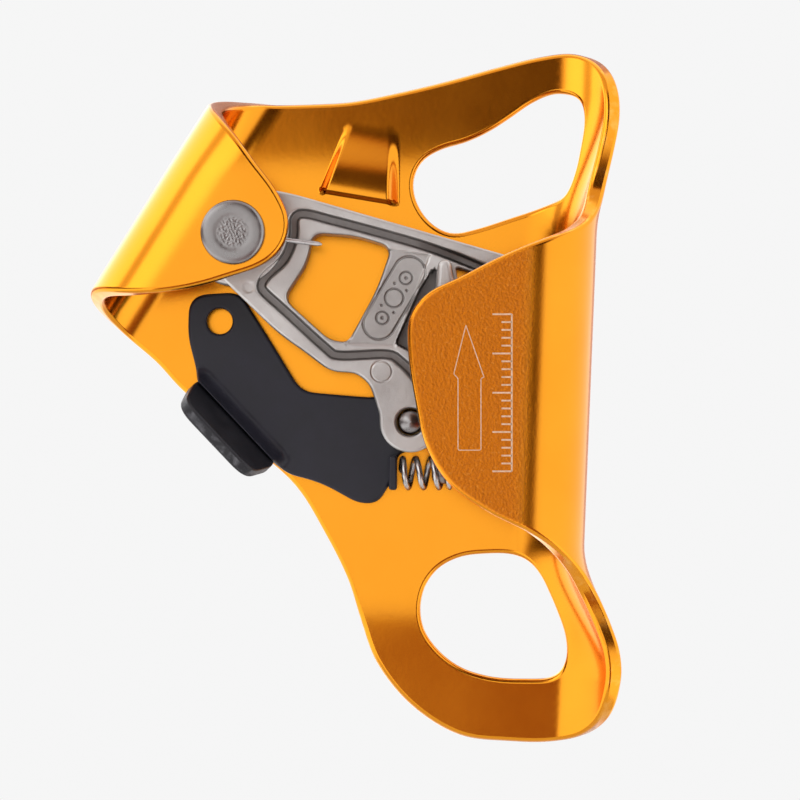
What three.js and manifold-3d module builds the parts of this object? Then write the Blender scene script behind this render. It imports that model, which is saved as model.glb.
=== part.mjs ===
// Chest ascender: a bent aluminium sheet body with a toothed cam, a safety catch and two eyes.
// Millimetres. +Z runs up the rope, +X points at the rope channel, and the front faces -Y.
// The origin is the centre of the lower attachment eye, in the back plate's middle plane.

import * as THREE from "three";
import Module from "manifold-3d";
import { mergeVertices } from "three/addons/utils/BufferGeometryUtils.js";
import { ConvexGeometry } from "three/addons/geometries/ConvexGeometry.js";

const wasm = await Module();
wasm.setup();

// ---------------------------------------------------------------- driving dimensions

const SHEET = 3.0; // thickness of the body's sheet
const MESH_STEP = 3.1; // grid on which the sheet is meshed
const EAR_RADIUS = 9.0; // middle-surface radius of the ear's fold
const CHANNEL_RADIUS = 10.5; // middle-surface radius of the rope channel
const CHANNEL_START = 4.7; // x where the channel's bend starts, halfway up
const CHANNEL_TAPER = 0.04; // how much further out it starts for each millimetre up
const CHANNEL_CENTRE_Z = 39.6; // middle of the channel's length
const CHANNEL_STRAIGHT = 26; // half-length of its straight part
const CHANNEL_FLARE = { top: 4.9, bottom: 8.8 }; // how far the bend moves outward at the funnels
const FLARE_LENGTH = 24; // length over which it moves
const EAR_FOLD = new THREE.Vector2(-35.8, 87.7); // upper end of the line where the ear's bend starts
const EAR_TILT = THREE.MathUtils.degToRad(32); // tilt of that line from the vertical
const SWEEP_START = { top: 75, bottom: 5 }; // z beyond which the body's ends sweep back
const SWEEP_RADIUS = 60;
const SWEEP_ANGLE = THREE.MathUtils.degToRad(12);

const CAM_AXIS = new THREE.Vector2(-43.3, 65.7); // main rivet's axis, as x and z
const CATCH_AXIS = new THREE.Vector2(-13.8, 34.1); // catch pin's axis
const PLATE_FRONT = -SHEET / 2; // y of the back plate's front face
const PLATE_REAR = SHEET / 2;
const EAR_INSIDE = -(2 * EAR_RADIUS - SHEET / 2); // y of the ear's inner face
const EAR_FRONT = -(2 * EAR_RADIUS + SHEET / 2);
const RUNNING = 0.05; // radial clearance of the turning fits
const CUT_GAP = 0.3; // gap between fixed neighbours

const RIVET_RADIUS = 3.0;
const RIVET_TAIL = 1.9; // how far the rivet's closed end stands behind the plate
const RIVET_HEAD_RADIUS = 5.35;
const RIVET_HEAD_HEIGHT = 1.7;
const WASHER_THICKNESS = 0.5;
const WASHER_RADIUS = 5.3;
const BUSH_WALL = 1.0;
const HUB_RADIUS = 8.6;
const HUB_REAR = PLATE_FRONT - 0.8;
const HUB_SHOULDER = -12.0; // front face of the cam's arms
const HUB_NOSE_RADIUS = 5.4; // slimmer nose that carries the torsion spring
const HUB_FRONT = EAR_INSIDE + 0.8;
const ARM_REAR = -2.4;
const LOWER_ARM_REAR = -7.2; // the lower arm is relieved behind, where the catch lies
const HEAD_REAR = -4.7; // toothed head of the cam
const HEAD_FRONT = -16.3;
const TOOTH_HEIGHT = 1.1;
const TOOTH_LEAN = 0.7; // how far a tip leans up the rope
const TOOTH_SUNK = 0.8; // depth of a tooth's base inside the head
const TOOTH_PITCH = 3.1; // between teeth of one row
const LUG_RADIUS = 5.2; // round boss that carries the catch pin

const CATCH_REAR = -4.4;
const CATCH_FRONT = -6.6;
const CATCH_PIN_RADIUS = 1.9;
const TAB_HEIGHT = 15; // along its lean

const WIRE = 0.4; // radius of both springs' wire
const TORSION_TURNS = 2.1;
const TORSION_LEG = 0.12; // share of the torsion spring's length in each leg
const TORSION_PITCH = 1.2; // between its turns
const LONG_LEG = 8.6; // length of the leg that presses on the cam
const SHORT_LEG = 3.0;
const SPRING_START = -15.3; // x of the compression spring's end on the catch
const SPRING_LENGTH = 8.2;
const SPRING_TURNS = 3.75;
const SPRING_Z = 25.4;
const SPRING_Y = -8.3;
const COIL_RADIUS = 2.45;
const POST_RADIUS = 1.8;
const POST_LENGTH = 3.4;
const POST_FOOT = -6.4; // x of the face that the spring's post stands on

// ---------------------------------------------------------------- materials

const steel = { color: 0x9c9a96, roughness: 0.42, metalness: 1 };
const finishes = {
  anodised: { color: 0xe08a1e, roughness: 0.28, metalness: 1 },
  cast: { color: 0xa9a7a2, roughness: 0.5, metalness: 1 },
  steel,
  bronze: { color: 0x9a6b3a, roughness: 0.4, metalness: 1 },
  springWire: { color: 0x8d8c8a, roughness: 0.3, metalness: 1 },
  black: { color: 0x15161a, roughness: 0.45, metalness: 0 },
  rubberBlack: { color: 0x101114, roughness: 0.6, metalness: 0 },
};

const ascender = new THREE.Group();

function addPart(name, geometry, finish) {
  const mesh = new THREE.Mesh(geometry, new THREE.MeshStandardMaterial(finishes[finish]));
  mesh.name = name;
  ascender.add(mesh);
}

// ---------------------------------------------------------------- solids

function toSolid(geometry) {
  const bare = geometry.index ? geometry.clone() : geometry;
  bare.deleteAttribute("normal");
  bare.deleteAttribute("uv");
  const merged = mergeVertices(bare, 1e-4);
  const vertProperties = new Float32Array(merged.attributes.position.array);
  const triVerts = new Uint32Array(merged.index.array);
  return new wasm.Manifold(new wasm.Mesh({ numProp: 3, vertProperties, triVerts }));
}

function toGeometry(solid) {
  const mesh = solid.getMesh();
  const geometry = new THREE.BufferGeometry();
  geometry.setAttribute("position", new THREE.BufferAttribute(mesh.vertProperties, 3));
  geometry.setIndex(new THREE.BufferAttribute(mesh.triVerts, 1));
  geometry.computeVertexNormals();
  return geometry;
}

// A flat piece parallel to the back plate, between two depths.
function flatPiece(shape, rearY, frontY) {
  const options = { depth: rearY - frontY, bevelEnabled: false, curveSegments: 5 };
  const geometry = new THREE.ExtrudeGeometry(shape, options);
  geometry.rotateX(Math.PI / 2);
  geometry.translate(0, rearY, 0);
  return geometry;
}

// A round piece about an axis along Y: profile points are [radius, y], from rear to front.
function turnedPiece(profile, axis, sides) {
  const points = profile.map(([radius, y]) => new THREE.Vector2(radius, y)).reverse();
  const geometry = new THREE.LatheGeometry(points, sides);
  geometry.translate(axis.x, 0, axis.y);
  return geometry;
}

// A cutter for a hole about an axis along Y, longer than any piece is thick.
function drill(radius, axis, sides) {
  const rear = 5;
  const front = -25;
  return turnedPiece([[0, rear], [radius, rear], [radius, front], [0, front]], axis, sides);
}

function ringProfile(inner, outer, rearY, frontY) {
  return [[inner, rearY], [outer, rearY], [outer, frontY], [inner, frontY], [inner, rearY]];
}

// A shape with rounded corners: each corner is [x, z, radius].
function roundedShape(corners) {
  const shape = new THREE.Shape();
  const count = corners.length;
  corners.forEach(([x, z, radius], i) => {
    const corner = new THREE.Vector2(x, z);
    const before = new THREE.Vector2(...corners[(i + count - 1) % count]);
    const after = new THREE.Vector2(...corners[(i + 1) % count]);
    const start = before.sub(corner).setLength(radius).add(corner);
    const end = after.sub(corner).setLength(radius).add(corner);
    if (i === 0) {
      shape.moveTo(start.x, start.y);
    } else {
      shape.lineTo(start.x, start.y);
    }
    shape.quadraticCurveTo(x, z, end.x, end.y);
  });
  shape.closePath();
  return shape;
}

// A round bar along a curve.
function wire(curve, radius, steps, sides = 6) {
  const section = new THREE.Shape();
  for (let i = 0; i < sides; i += 1) {
    const angle = (2 * Math.PI * i) / sides;
    const point = [radius * Math.cos(angle), radius * Math.sin(angle)];
    if (i === 0) {
      section.moveTo(...point);
    } else {
      section.lineTo(...point);
    }
  }
  return new THREE.ExtrudeGeometry(section, { steps, bevelEnabled: false, extrudePath: curve });
}

// ---------------------------------------------------------------- the body's flat blank

// The blank is drawn flat in the back plate's plane. Left of the ear's fold line and right of the
// channel's bend start it is the developed length of the bend, so it is wider than the body.
const earAlong = new THREE.Vector2(-Math.sin(EAR_TILT), -Math.cos(EAR_TILT));
const earAcross = new THREE.Vector2(-Math.cos(EAR_TILT), Math.sin(EAR_TILT));

function earPoint([along, across]) {
  return EAR_FOLD.clone().addScaledVector(earAlong, along).addScaledVector(earAcross, across);
}

// Each ear point is [distance down the fold line, developed distance across it].
const earOutline = [
  [-0.3, 1.2], [0.9, 3.5], [2.8, 7], [5.3, 13], [7, 20], [8.5, 24.9], [10.7, 30.3], [13, 36.2], [15.7, 40.1],
  [19.1, 41.7], [22.4, 41.5], [25.5, 40], [29.1, 37], [32.6, 34], [36.7, 29.6], [40.6, 24],
  [43.4, 17], [45.6, 10], [47.2, 2],
];

// Each plate point is [x, z] in the blank.
const plateOutline = [
  [-57.2, 44.2], [-53, 39.6], [-43, 31.4], [-33.5, 23.2], [-28.6, 15.4], [-24.4, 7], [-22.2, 0],
  [-19.6, -7.2], [-13.6, -14.8], [-5.2, -20.1], [3.4, -21.2], [10.4, -21.3], [16.6, -20], [21.4, -16.2],
  [23.8, -10.3], [24.2, -4.6], [23.6, 0.6], [24.4, 6.4], [28, 11.2], [34.6, 15.8], [42, 19.4],
  [48.6, 24], [52.9, 30.2], [55.1, 37.2], [57, 45.4], [57.3, 51.6], [54.8, 55.4], [49.4, 58.2],
  [43.4, 61.4], [36.6, 64.4], [30.6, 66.6], [26.6, 69.2], [23.4, 73.6], [23.2, 80], [23.6, 86],
  [22.6, 91.6], [19.4, 95.8], [14.4, 97.6], [8.6, 97], [1.7, 95.3], [-6.9, 92.9], [-15.5, 90.8],
  [-24.1, 89.1], [-31, 88.7],
];

const upperEye = [
  [15.9, 89.4], [16.9, 86.3], [16.4, 80.8], [15.6, 76.4], [13.8, 72.8], [10, 71.2], [3.4, 69],
  [-2.6, 67.1], [-6.6, 66.4], [-10, 68], [-12.6, 71.6], [-13.2, 75.4], [-11.7, 78.8], [-8.6, 80.8],
  [-4, 82.2], [0, 84.1], [3.8, 86.6], [7.6, 89.2], [11.8, 90.7],
];

const lowerEye = [
  [-0.9, 11.4], [3.8, 11.3], [7, 10], [9.2, 7.6], [10.6, 4.8], [12.2, 0.8], [13.3, -3], [13.2, -7],
  [11.2, -9.8], [6, -10.3], [0, -9.9], [-5.2, -8.2], [-9, -5.2], [-11.4, -1.6], [-12, 2],
  [-11.2, 5.8], [-8.8, 9], [-5, 10.9],
];

function closedCurve(points, samples) {
  const curve = new THREE.CatmullRomCurve3(
    points.map((p) => new THREE.Vector3(p.x ?? p[0], p.y ?? p[1], 0)),
    true,
    "centripetal",
  );
  return curve.getPoints(samples).slice(0, -1);
}

const outlines = [
  closedCurve([...earOutline.map(earPoint), ...plateOutline], 320),
  closedCurve(upperEye, 90),
  closedCurve(lowerEye, 90),
];

// Distance to the blank's edge: positive on the metal, negative outside it and in the eyes.
function edgeDistance(x, z) {
  let nearest = Infinity;
  let inside = false;
  for (const outline of outlines) {
    outline.forEach((end, i) => {
      const start = outline[(i + outline.length - 1) % outline.length];
      const dx = end.x - start.x;
      const dz = end.y - start.y;
      const along = ((x - start.x) * dx + (z - start.y) * dz) / (dx * dx + dz * dz);
      const t = Math.min(1, Math.max(0, along));
      nearest = Math.min(nearest, Math.hypot(x - start.x - t * dx, z - start.y - t * dz));
      if (start.y > z !== end.y > z && x < start.x + (dx * (z - start.y)) / dz) {
        inside = !inside;
      }
    });
  }
  return inside ? nearest : -nearest;
}

// ---------------------------------------------------------------- bending the blank

function channelStart(z) {
  const up = z - CHANNEL_CENTRE_Z;
  const flare = up > 0 ? CHANNEL_FLARE.top : CHANNEL_FLARE.bottom;
  const flared = THREE.MathUtils.smoothstep(Math.abs(up) - CHANNEL_STRAIGHT, 0, FLARE_LENGTH);
  return CHANNEL_START + CHANNEL_TAPER * up + flare * flared;
}

// How far back the body's swept ends lie at a height.
function sweepBack(z) {
  const beyond = Math.max(0, z - SWEEP_START.top, SWEEP_START.bottom - z);
  const curved = Math.min(beyond, SWEEP_RADIUS * Math.sin(SWEEP_ANGLE));
  const straight = (beyond - curved) * Math.tan(SWEEP_ANGLE);
  return SWEEP_RADIUS - Math.sqrt(SWEEP_RADIUS ** 2 - curved ** 2) + straight;
}

// Where a point of the blank comes to lie, offset from the middle surface towards the inside.
function bend(x, z, offset) {
  const point = new THREE.Vector2(x, z);
  const fold = point.clone().sub(EAR_FOLD).dot(earAcross);
  const start = channelStart(z);
  const onEar = fold > 0;
  const beyond = onEar ? fold : Math.max(0, x - start);
  const radius = onEar ? EAR_RADIUS : CHANNEL_RADIUS;
  const across = onEar ? earAcross : new THREE.Vector2(1, 0);
  const angle = Math.min(beyond / radius, Math.PI);
  const flat = beyond - angle * radius;
  const shift = radius * Math.sin(angle) - flat - offset * Math.sin(angle) - beyond;
  point.addScaledVector(across, shift);
  const depth = radius * (1 - Math.cos(angle)) + offset * Math.cos(angle);
  return new THREE.Vector3(point.x, sweepBack(point.y) - depth, point.y);
}

// The blank as flat triangles: full grid squares inside, squares clipped along its edges.
function meshBlank() {
  const low = new THREE.Vector2(-88, -24); // lower left corner of the grid
  const high = new THREE.Vector2(60, 104);
  const columns = Math.ceil((high.x - low.x) / MESH_STEP);
  const rows = Math.ceil((high.y - low.y) / MESH_STEP);
  const nearestShare = 0.06; // keeps the cut points away from the grid's corners
  const distance = (i, j) => edgeDistance(low.x + i * MESH_STEP, low.y + j * MESH_STEP);
  const field = Array.from({ length: columns + 1 }, (_, i) =>
    Array.from({ length: rows + 1 }, (__, j) => distance(i, j)),
  );
  const points = [];
  const known = new Map();
  const triangles = [];

  function vertex(a, b) {
    const key = a[0] <= b[0] && a[1] <= b[1] ? `${a}|${b}` : `${b}|${a}`;
    if (!known.has(key)) {
      const fa = field[a[0]][a[1]];
      const fb = field[b[0]][b[1]];
      const t = a === b ? 0 : THREE.MathUtils.clamp(fa / (fa - fb), nearestShare, 1 - nearestShare);
      const u = a[0] + t * (b[0] - a[0]);
      const v = a[1] + t * (b[1] - a[1]);
      known.set(key, points.length);
      points.push(new THREE.Vector2(low.x + u * MESH_STEP, low.y + v * MESH_STEP));
    }
    return known.get(key);
  }

  for (let i = 0; i < columns; i += 1) {
    for (let j = 0; j < rows; j += 1) {
      const corners = [[i, j], [i + 1, j], [i + 1, j + 1], [i, j + 1]];
      const polygon = [];
      corners.forEach((corner, k) => {
        const next = corners[(k + 1) % 4];
        const inside = field[corner[0]][corner[1]] > 0;
        const nextInside = field[next[0]][next[1]] > 0;
        if (inside) {
          polygon.push(vertex(corner, corner));
        }
        if (inside !== nextInside) {
          polygon.push(vertex(corner, next));
        }
      });
      for (let k = 1; k + 1 < polygon.length; k += 1) {
        triangles.push([polygon[0], polygon[k], polygon[k + 1]]);
      }
    }
  }
  return { points, triangles };
}

function sheetBody() {
  const { points, triangles } = meshBlank();
  const count = points.length;
  const front = points.map((p) => bend(p.x, p.y, SHEET / 2));
  const rear = points.map((p) => bend(p.x, p.y, -SHEET / 2));
  const index = [];
  const edges = new Set(triangles.flatMap(([a, b, c]) => [`${a},${b}`, `${b},${c}`, `${c},${a}`]));
  for (const [a, b, c] of triangles) {
    index.push(a, b, c, a + count, c + count, b + count);
  }
  for (const edge of edges) {
    const [a, b] = edge.split(",").map(Number);
    if (!edges.has(`${b},${a}`)) {
      index.push(a, a + count, b + count, a, b + count, b);
    }
  }
  const geometry = new THREE.BufferGeometry();
  const positions = [...front, ...rear].flatMap((p) => p.toArray());
  geometry.setAttribute("position", new THREE.Float32BufferAttribute(positions, 3));
  geometry.setIndex(index);
  return geometry;
}

// The stop: a wedge pressed out of the back plate, proud at its lower end, that the cam rests on.
function camStop() {
  const sunk = PLATE_FRONT + 0.6;
  const proud = PLATE_FRONT - 3;
  const corners = [
    [-24.6, sunk, 83.4], [-16.6, sunk, 83], [-28.8, sunk, 73], [-15.9, sunk, 69.6],
    [-27.6, proud, 73.4], [-16.7, proud, 70.2], [-27.4, sunk, 71.6], [-26.6, proud, 71.9],
  ];
  return new ConvexGeometry(corners.map((corner) => new THREE.Vector3(...corner)));
}

function bodyFrame() {
  const hole = RIVET_RADIUS + CUT_GAP / 2;
  const body = toSolid(sheetBody()).add(toSolid(camStop()));
  return toGeometry(body.subtract(toSolid(drill(hole, CAM_AXIS, 20))));
}

// ---------------------------------------------------------------- the cam

const camBody = [
  [-46, 74.4, 3], [-35, 73, 4], [-25.6, 70.3, 3], [-2.4, 63.6, 4], [7, 60.9, 2.5], [9.4, 55.6, 3],
  [9.4, 47, 3], [6.4, 39.6, 3], [-1.4, 32, 2], [-1.4, 22.6, 1], [-6.4, 22.6, 1.2], [-6.4, 31.4, 1.5],
  [-12.4, 29.2, 1], [-18.4, 31.4, 1.4], [-18.8, 36.2, 1.6], [-20.6, 40.6, 1.4], [-23.1, 42.5, 1.2],
  [-27.2, 42.5, 2], [-31.4, 45.8, 2.4], [-36, 49, 2.6], [-50, 62.6, 3],
];

const camWindow = [
  [-30.2, 66, 2], [-23, 65.5, 2.5], [-16.9, 63.6, 2], [-19.4, 56.4, 3], [-24.3, 47.5, 1.2],
  [-27.4, 47.9, 1.6], [-35.2, 54.9, 2], [-31.2, 61, 2],
];

// The head is the thick, toothed end of the cam; its left side is a straight shoulder.
const camHead = [
  [-8.4, 62, 1], [-3, 63, 1], [7, 60.9, 2.5], [9.4, 55.6, 3], [9.4, 47, 3], [6.4, 39.6, 3],
  [-1.4, 32.6, 1.5], [-4.8, 33.8, 1.5], [-4.8, 46, 2], [-8.4, 50, 2],
];

// Teeth lean up the rope, in rows across the head's face.
function camTeeth() {
  const rows = 9;
  const perRow = 3;
  const face = new THREE.SplineCurve(
    [[8.2, 58], [9.1, 54], [9.1, 47.5], [7.2, 41.8], [2.4, 36]].map((p) => new THREE.Vector2(...p)),
  );
  const teeth = [];
  for (let row = 0; row < rows; row += 1) {
    const root = face.getPointAt(row / (rows - 1));
    const tangent = face.getTangentAt(row / (rows - 1));
    const outward = new THREE.Vector2(-tangent.y, tangent.x);
    const tip = root.clone().addScaledVector(outward, TOOTH_HEIGHT);
    tip.addScaledVector(tangent, -TOOTH_LEAN);
    const base = root.clone().addScaledVector(outward, -TOOTH_SUNK);
    for (let column = 0; column < perRow; column += 1) {
      const stagger = row % 2 === 0 ? 0 : 0.5;
      const y = HEAD_REAR - 2.0 - (column + stagger) * TOOTH_PITCH;
      const corners = [new THREE.Vector3(tip.x, y, tip.y)];
      for (let k = 0; k < 6; k += 1) {
        const angle = (Math.PI * k) / 3;
        const along = Math.cos(angle);
        const point = base.clone().addScaledVector(tangent, along);
        corners.push(new THREE.Vector3(point.x, y + Math.sin(angle), point.y));
      }
      teeth.push(toSolid(new ConvexGeometry(corners)));
    }
  }
  return teeth;
}

function cam() {
  const relief = roundedShape([
    [-60, 59, 1], [-40, 59, 1], [-34, 53, 1], [-27, 46.6, 2], [-16, 46.6, 2], [-5.6, 38, 2],
    [-5.6, 10, 1], [-60, 10, 1],
  ]);
  const headRelief = roundedShape([[0, 80, 1], [20, 80, 1], [20, 10, 1], [-8, 10, 1], [-8, 46, 2]]);
  const bore = RIVET_RADIUS + BUSH_WALL + RUNNING;
  const pinBore = CATCH_PIN_RADIUS + 0.15;
  const drills = [drill(bore, CAM_AXIS, 24), drill(pinBore, CATCH_AXIS, 16)];
  const hubChamfer = 2; // clears the ear's fold behind the hub
  const hub = [
    [0, HUB_REAR], [HUB_RADIUS - hubChamfer, HUB_REAR], [HUB_RADIUS, HUB_REAR - hubChamfer],
    [HUB_RADIUS, HUB_SHOULDER], [HUB_NOSE_RADIUS, HUB_SHOULDER], [HUB_NOSE_RADIUS, HUB_FRONT],
    [0, HUB_FRONT],
  ];
  const lug = [
    [0, LOWER_ARM_REAR], [LUG_RADIUS, LOWER_ARM_REAR], [LUG_RADIUS, HUB_SHOULDER], [0, HUB_SHOULDER],
  ];
  let solid = toSolid(flatPiece(roundedShape(camBody), ARM_REAR, HUB_SHOULDER));
  solid = solid.subtract(toSolid(flatPiece(roundedShape(camWindow), 0, HUB_SHOULDER - 1)));
  solid = solid.subtract(toSolid(flatPiece(relief, ARM_REAR + 1, LOWER_ARM_REAR)));
  solid = solid.subtract(toSolid(flatPiece(headRelief, ARM_REAR + 1, HEAD_REAR)));
  solid = solid.add(toSolid(turnedPiece(hub, CAM_AXIS, 28)));
  solid = solid.add(toSolid(turnedPiece(lug, CATCH_AXIS, 24)));
  solid = solid.add(toSolid(flatPiece(roundedShape(camHead), HEAD_REAR, HEAD_FRONT)));
  for (const tooth of camTeeth()) {
    solid = solid.add(tooth);
  }
  for (const hole of drills) {
    solid = solid.subtract(toSolid(hole));
  }
  return toGeometry(solid);
}

// ---------------------------------------------------------------- rivet, bush and washers

function mainRivet() {
  const head = EAR_FRONT - RIVET_HEAD_HEIGHT;
  const rear = PLATE_REAR + RIVET_TAIL;
  return turnedPiece([
    [0, rear], [RIVET_RADIUS, rear], [RIVET_RADIUS, EAR_FRONT], [RIVET_HEAD_RADIUS - 0.3, EAR_FRONT],
    [RIVET_HEAD_RADIUS, EAR_FRONT - 0.4], [RIVET_HEAD_RADIUS - 0.5, head + 0.5], [3.6, head], [0, head],
  ], CAM_AXIS, 32);
}

function rivetWasher() {
  const inner = RIVET_RADIUS + 0.1;
  const rear = PLATE_REAR + 1.6;
  const face = PLATE_REAR;
  return turnedPiece([
    [inner, rear], [4.2, rear], [RIVET_HEAD_RADIUS - 0.2, face + 0.5], [RIVET_HEAD_RADIUS - 0.2, face],
    [inner, face], [inner, rear],
  ], CAM_AXIS, 28);
}

function thrustWasher(rearY) {
  const inner = RIVET_RADIUS + RUNNING;
  return turnedPiece(ringProfile(inner, WASHER_RADIUS, rearY, rearY - WASHER_THICKNESS), CAM_AXIS, 28);
}

function camBush() {
  const inner = RIVET_RADIUS + RUNNING;
  return turnedPiece(ringProfile(inner, RIVET_RADIUS + BUSH_WALL, HUB_REAR, HUB_FRONT), CAM_AXIS, 24);
}

// ---------------------------------------------------------------- springs

// Two turns round the hub's nose, one leg over the cam's rim and one against the ear's fold.
class TorsionSpring extends THREE.Curve {
  getPoint(t) {
    const radius = HUB_NOSE_RADIUS + WIRE + 0.3;
    const coil = THREE.MathUtils.clamp((t - TORSION_LEG) / (1 - 2 * TORSION_LEG), 0, 1);
    const angle = -0.1 - coil * TORSION_TURNS * 2 * Math.PI;
    const y = HUB_SHOULDER - 0.75 - coil * TORSION_TURNS * TORSION_PITCH;
    const point = new THREE.Vector3(
      CAM_AXIS.x + radius * Math.cos(angle), y, CAM_AXIS.y + radius * Math.sin(angle),
    );
    const before = Math.max(0, TORSION_LEG - t) / TORSION_LEG;
    const after = Math.max(0, t - 1 + TORSION_LEG) / TORSION_LEG;
    point.x += LONG_LEG * before - SHORT_LEG * Math.sin(angle) * after;
    point.z += SHORT_LEG * Math.cos(angle) * after - 1.1 * before;
    return point;
  }
}

class CompressionSpring extends THREE.Curve {
  getPoint(t) {
    const angle = t * SPRING_TURNS * 2 * Math.PI;
    const y = SPRING_Y + COIL_RADIUS * Math.cos(angle);
    const z = SPRING_Z + COIL_RADIUS * Math.sin(angle);
    return new THREE.Vector3(SPRING_START + t * SPRING_LENGTH, y, z);
  }
}

function springPost() {
  const profile = [
    [0, 0], [POST_RADIUS, 0], [POST_RADIUS, POST_LENGTH - 0.8], [POST_RADIUS - 0.5, POST_LENGTH],
    [0, POST_LENGTH],
  ];
  const geometry = new THREE.LatheGeometry(profile.map((p) => new THREE.Vector2(...p)), 16);
  geometry.rotateZ(Math.PI / 2);
  geometry.translate(POST_FOOT - CUT_GAP, SPRING_Y, SPRING_Z);
  return geometry;
}

// ---------------------------------------------------------------- the safety catch

const catchOutline = [
  [-51.4, 55.6, 3], [-42.8, 56.2, 2], [-37, 47, 4], [-32.3, 39.2, 2.2], [-20.4, 38.2, 1.5],
  [-15, 38.8, 2], [-9.4, 36, 2], [-9.6, 31.6, 2], [-12.6, 29.4, 1.5], [-16, 28.6, 1],
  [-16, 25.6, 1], [-19.2, 20.2, 1.5], [-22.6, 20.2, 1.5], [-29, 23.8, 3], [-34.6, 25.2, 1.2],
  [-37, 31.2, 1.5], [-47.6, 41.8, 1], [-49.6, 43.6, 0.9], [-51.6, 48.6, 2],
];

// The tab stands along the catch's lower left edge, over the line between these two points, and
// leans outward.
const TAB_START = new THREE.Vector2(-49.6, 40.9);
const TAB_END = new THREE.Vector2(-37.2, 27.8);
const TAB_THICKNESS = 2.6;
const TAB_LEAN = THREE.MathUtils.degToRad(17);

function catchPlate() {
  const pinHole = CATCH_PIN_RADIUS + 1.05;
  const cordHole = 2.2;
  const cordAt = new THREE.Vector2(-46.2, 51.2);
  const seat = roundedShape([[-17.4, 28.4, 0.4], [-16, 28.4, 0.4], [-16, 22.6, 0.4], [-17.4, 22.6, 0.4]]);
  let plate = toSolid(flatPiece(roundedShape(catchOutline), CATCH_REAR, CATCH_FRONT));
  for (const [radius, axis] of [[pinHole, CATCH_AXIS], [cordHole, cordAt]]) {
    plate = plate.subtract(toSolid(drill(radius, axis, 20)));
  }
  return toGeometry(plate.add(toSolid(flatPiece(seat, CATCH_REAR - 0.2, SPRING_Y - 3.2))));
}

function thumbTab() {
  const half = TAB_START.distanceTo(TAB_END) / 2;
  const profile = roundedShape([
    [-half, 0, 0.8], [half, 0, 0.8], [half + 1, 5, 2], [half - 0.6, TAB_HEIGHT, 3],
    [-half + 1.2, TAB_HEIGHT, 3], [-half - 0.4, 5, 2],
  ]);
  const options = { depth: TAB_THICKNESS, bevelEnabled: false, curveSegments: 5 };
  const geometry = new THREE.ExtrudeGeometry(profile, options);
  geometry.translate(0, 0, -TAB_THICKNESS / 2);
  const along = new THREE.Vector3(TAB_END.x - TAB_START.x, 0, TAB_END.y - TAB_START.y).normalize();
  const outward = new THREE.Vector3(along.z, 0, -along.x);
  const height = new THREE.Vector3(0, -Math.cos(TAB_LEAN), 0);
  height.addScaledVector(outward, Math.sin(TAB_LEAN));
  const middle = TAB_START.clone().add(TAB_END).multiplyScalar(0.5);
  const place = new THREE.Matrix4().makeBasis(along, height, along.clone().cross(height));
  place.setPosition(middle.x, CATCH_REAR, middle.y);
  return geometry.applyMatrix4(place);
}

function catchPin() {
  const rear = CATCH_REAR + 1.4;
  const front = HUB_SHOULDER - 0.2;
  return turnedPiece([
    [0, rear], [CATCH_PIN_RADIUS, rear], [CATCH_PIN_RADIUS, front], [1.3, front - 0.5], [0, front - 0.7],
  ], CATCH_AXIS, 20);
}

function catchBush() {
  const inner = CATCH_PIN_RADIUS + RUNNING;
  return turnedPiece(ringProfile(inner, inner + 0.9, CATCH_REAR, LOWER_ARM_REAR + 0.1), CATCH_AXIS, 20);
}

function pinClip() {
  const inner = CATCH_PIN_RADIUS + RUNNING;
  return turnedPiece(ringProfile(inner, 3.6, CATCH_REAR + 0.9, CATCH_REAR + 0.2), CATCH_AXIS, 20);
}

// ---------------------------------------------------------------- assembly

addPart("frame", bodyFrame(), "anodised");
addPart("main_rivet", mainRivet(), "steel");
addPart("rivet_washer", rivetWasher(), "steel");
addPart("rear_thrust_washer", thrustWasher(PLATE_FRONT - 0.1), "bronze");
addPart("front_thrust_washer", thrustWasher(HUB_FRONT - 0.1), "bronze");
addPart("cam_bush", camBush(), "bronze");
addPart("cam", cam(), "cast");
addPart("cam_spring", wire(new TorsionSpring(), WIRE, 56), "springWire");
addPart("catch_plate", catchPlate(), "black");
addPart("thumb_tab", thumbTab(), "rubberBlack");
addPart("catch_pin", catchPin(), "steel");
addPart("catch_bush", catchBush(), "bronze");
addPart("pin_clip", pinClip(), "springWire");
addPart("catch_spring", wire(new CompressionSpring(), WIRE, 60), "springWire");
addPart("spring_post", springPost(), "steel");

export default ascender;
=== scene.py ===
"""A chest ascender: a bent aluminium body with a toothed cam, a safety catch and two eyes.

The model is in metres, with +Z up the rope, +X at the rope channel and its front facing -Y.
Shapes are drawn in millimetres and scaled as each mesh is made.
"""
import math

import bmesh
import bpy
import numpy as np
from mathutils import Matrix, Vector
from mathutils.geometry import delaunay_2d_cdt


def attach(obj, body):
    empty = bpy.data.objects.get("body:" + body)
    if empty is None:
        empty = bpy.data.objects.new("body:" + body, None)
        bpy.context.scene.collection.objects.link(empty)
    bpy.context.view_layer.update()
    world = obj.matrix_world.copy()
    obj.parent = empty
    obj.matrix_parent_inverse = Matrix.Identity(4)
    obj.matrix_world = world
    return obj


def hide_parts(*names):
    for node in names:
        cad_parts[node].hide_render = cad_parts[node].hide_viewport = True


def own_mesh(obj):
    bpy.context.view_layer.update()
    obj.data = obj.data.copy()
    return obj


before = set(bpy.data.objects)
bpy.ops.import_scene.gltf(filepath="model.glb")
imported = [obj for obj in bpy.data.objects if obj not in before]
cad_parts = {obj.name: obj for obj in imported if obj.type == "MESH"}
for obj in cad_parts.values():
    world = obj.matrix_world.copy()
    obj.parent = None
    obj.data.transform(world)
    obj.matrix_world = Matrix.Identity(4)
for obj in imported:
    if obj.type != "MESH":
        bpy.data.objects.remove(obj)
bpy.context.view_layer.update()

MM = 0.001

# ---------------------------------------------------------------- dimensions, in millimetres

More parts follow.
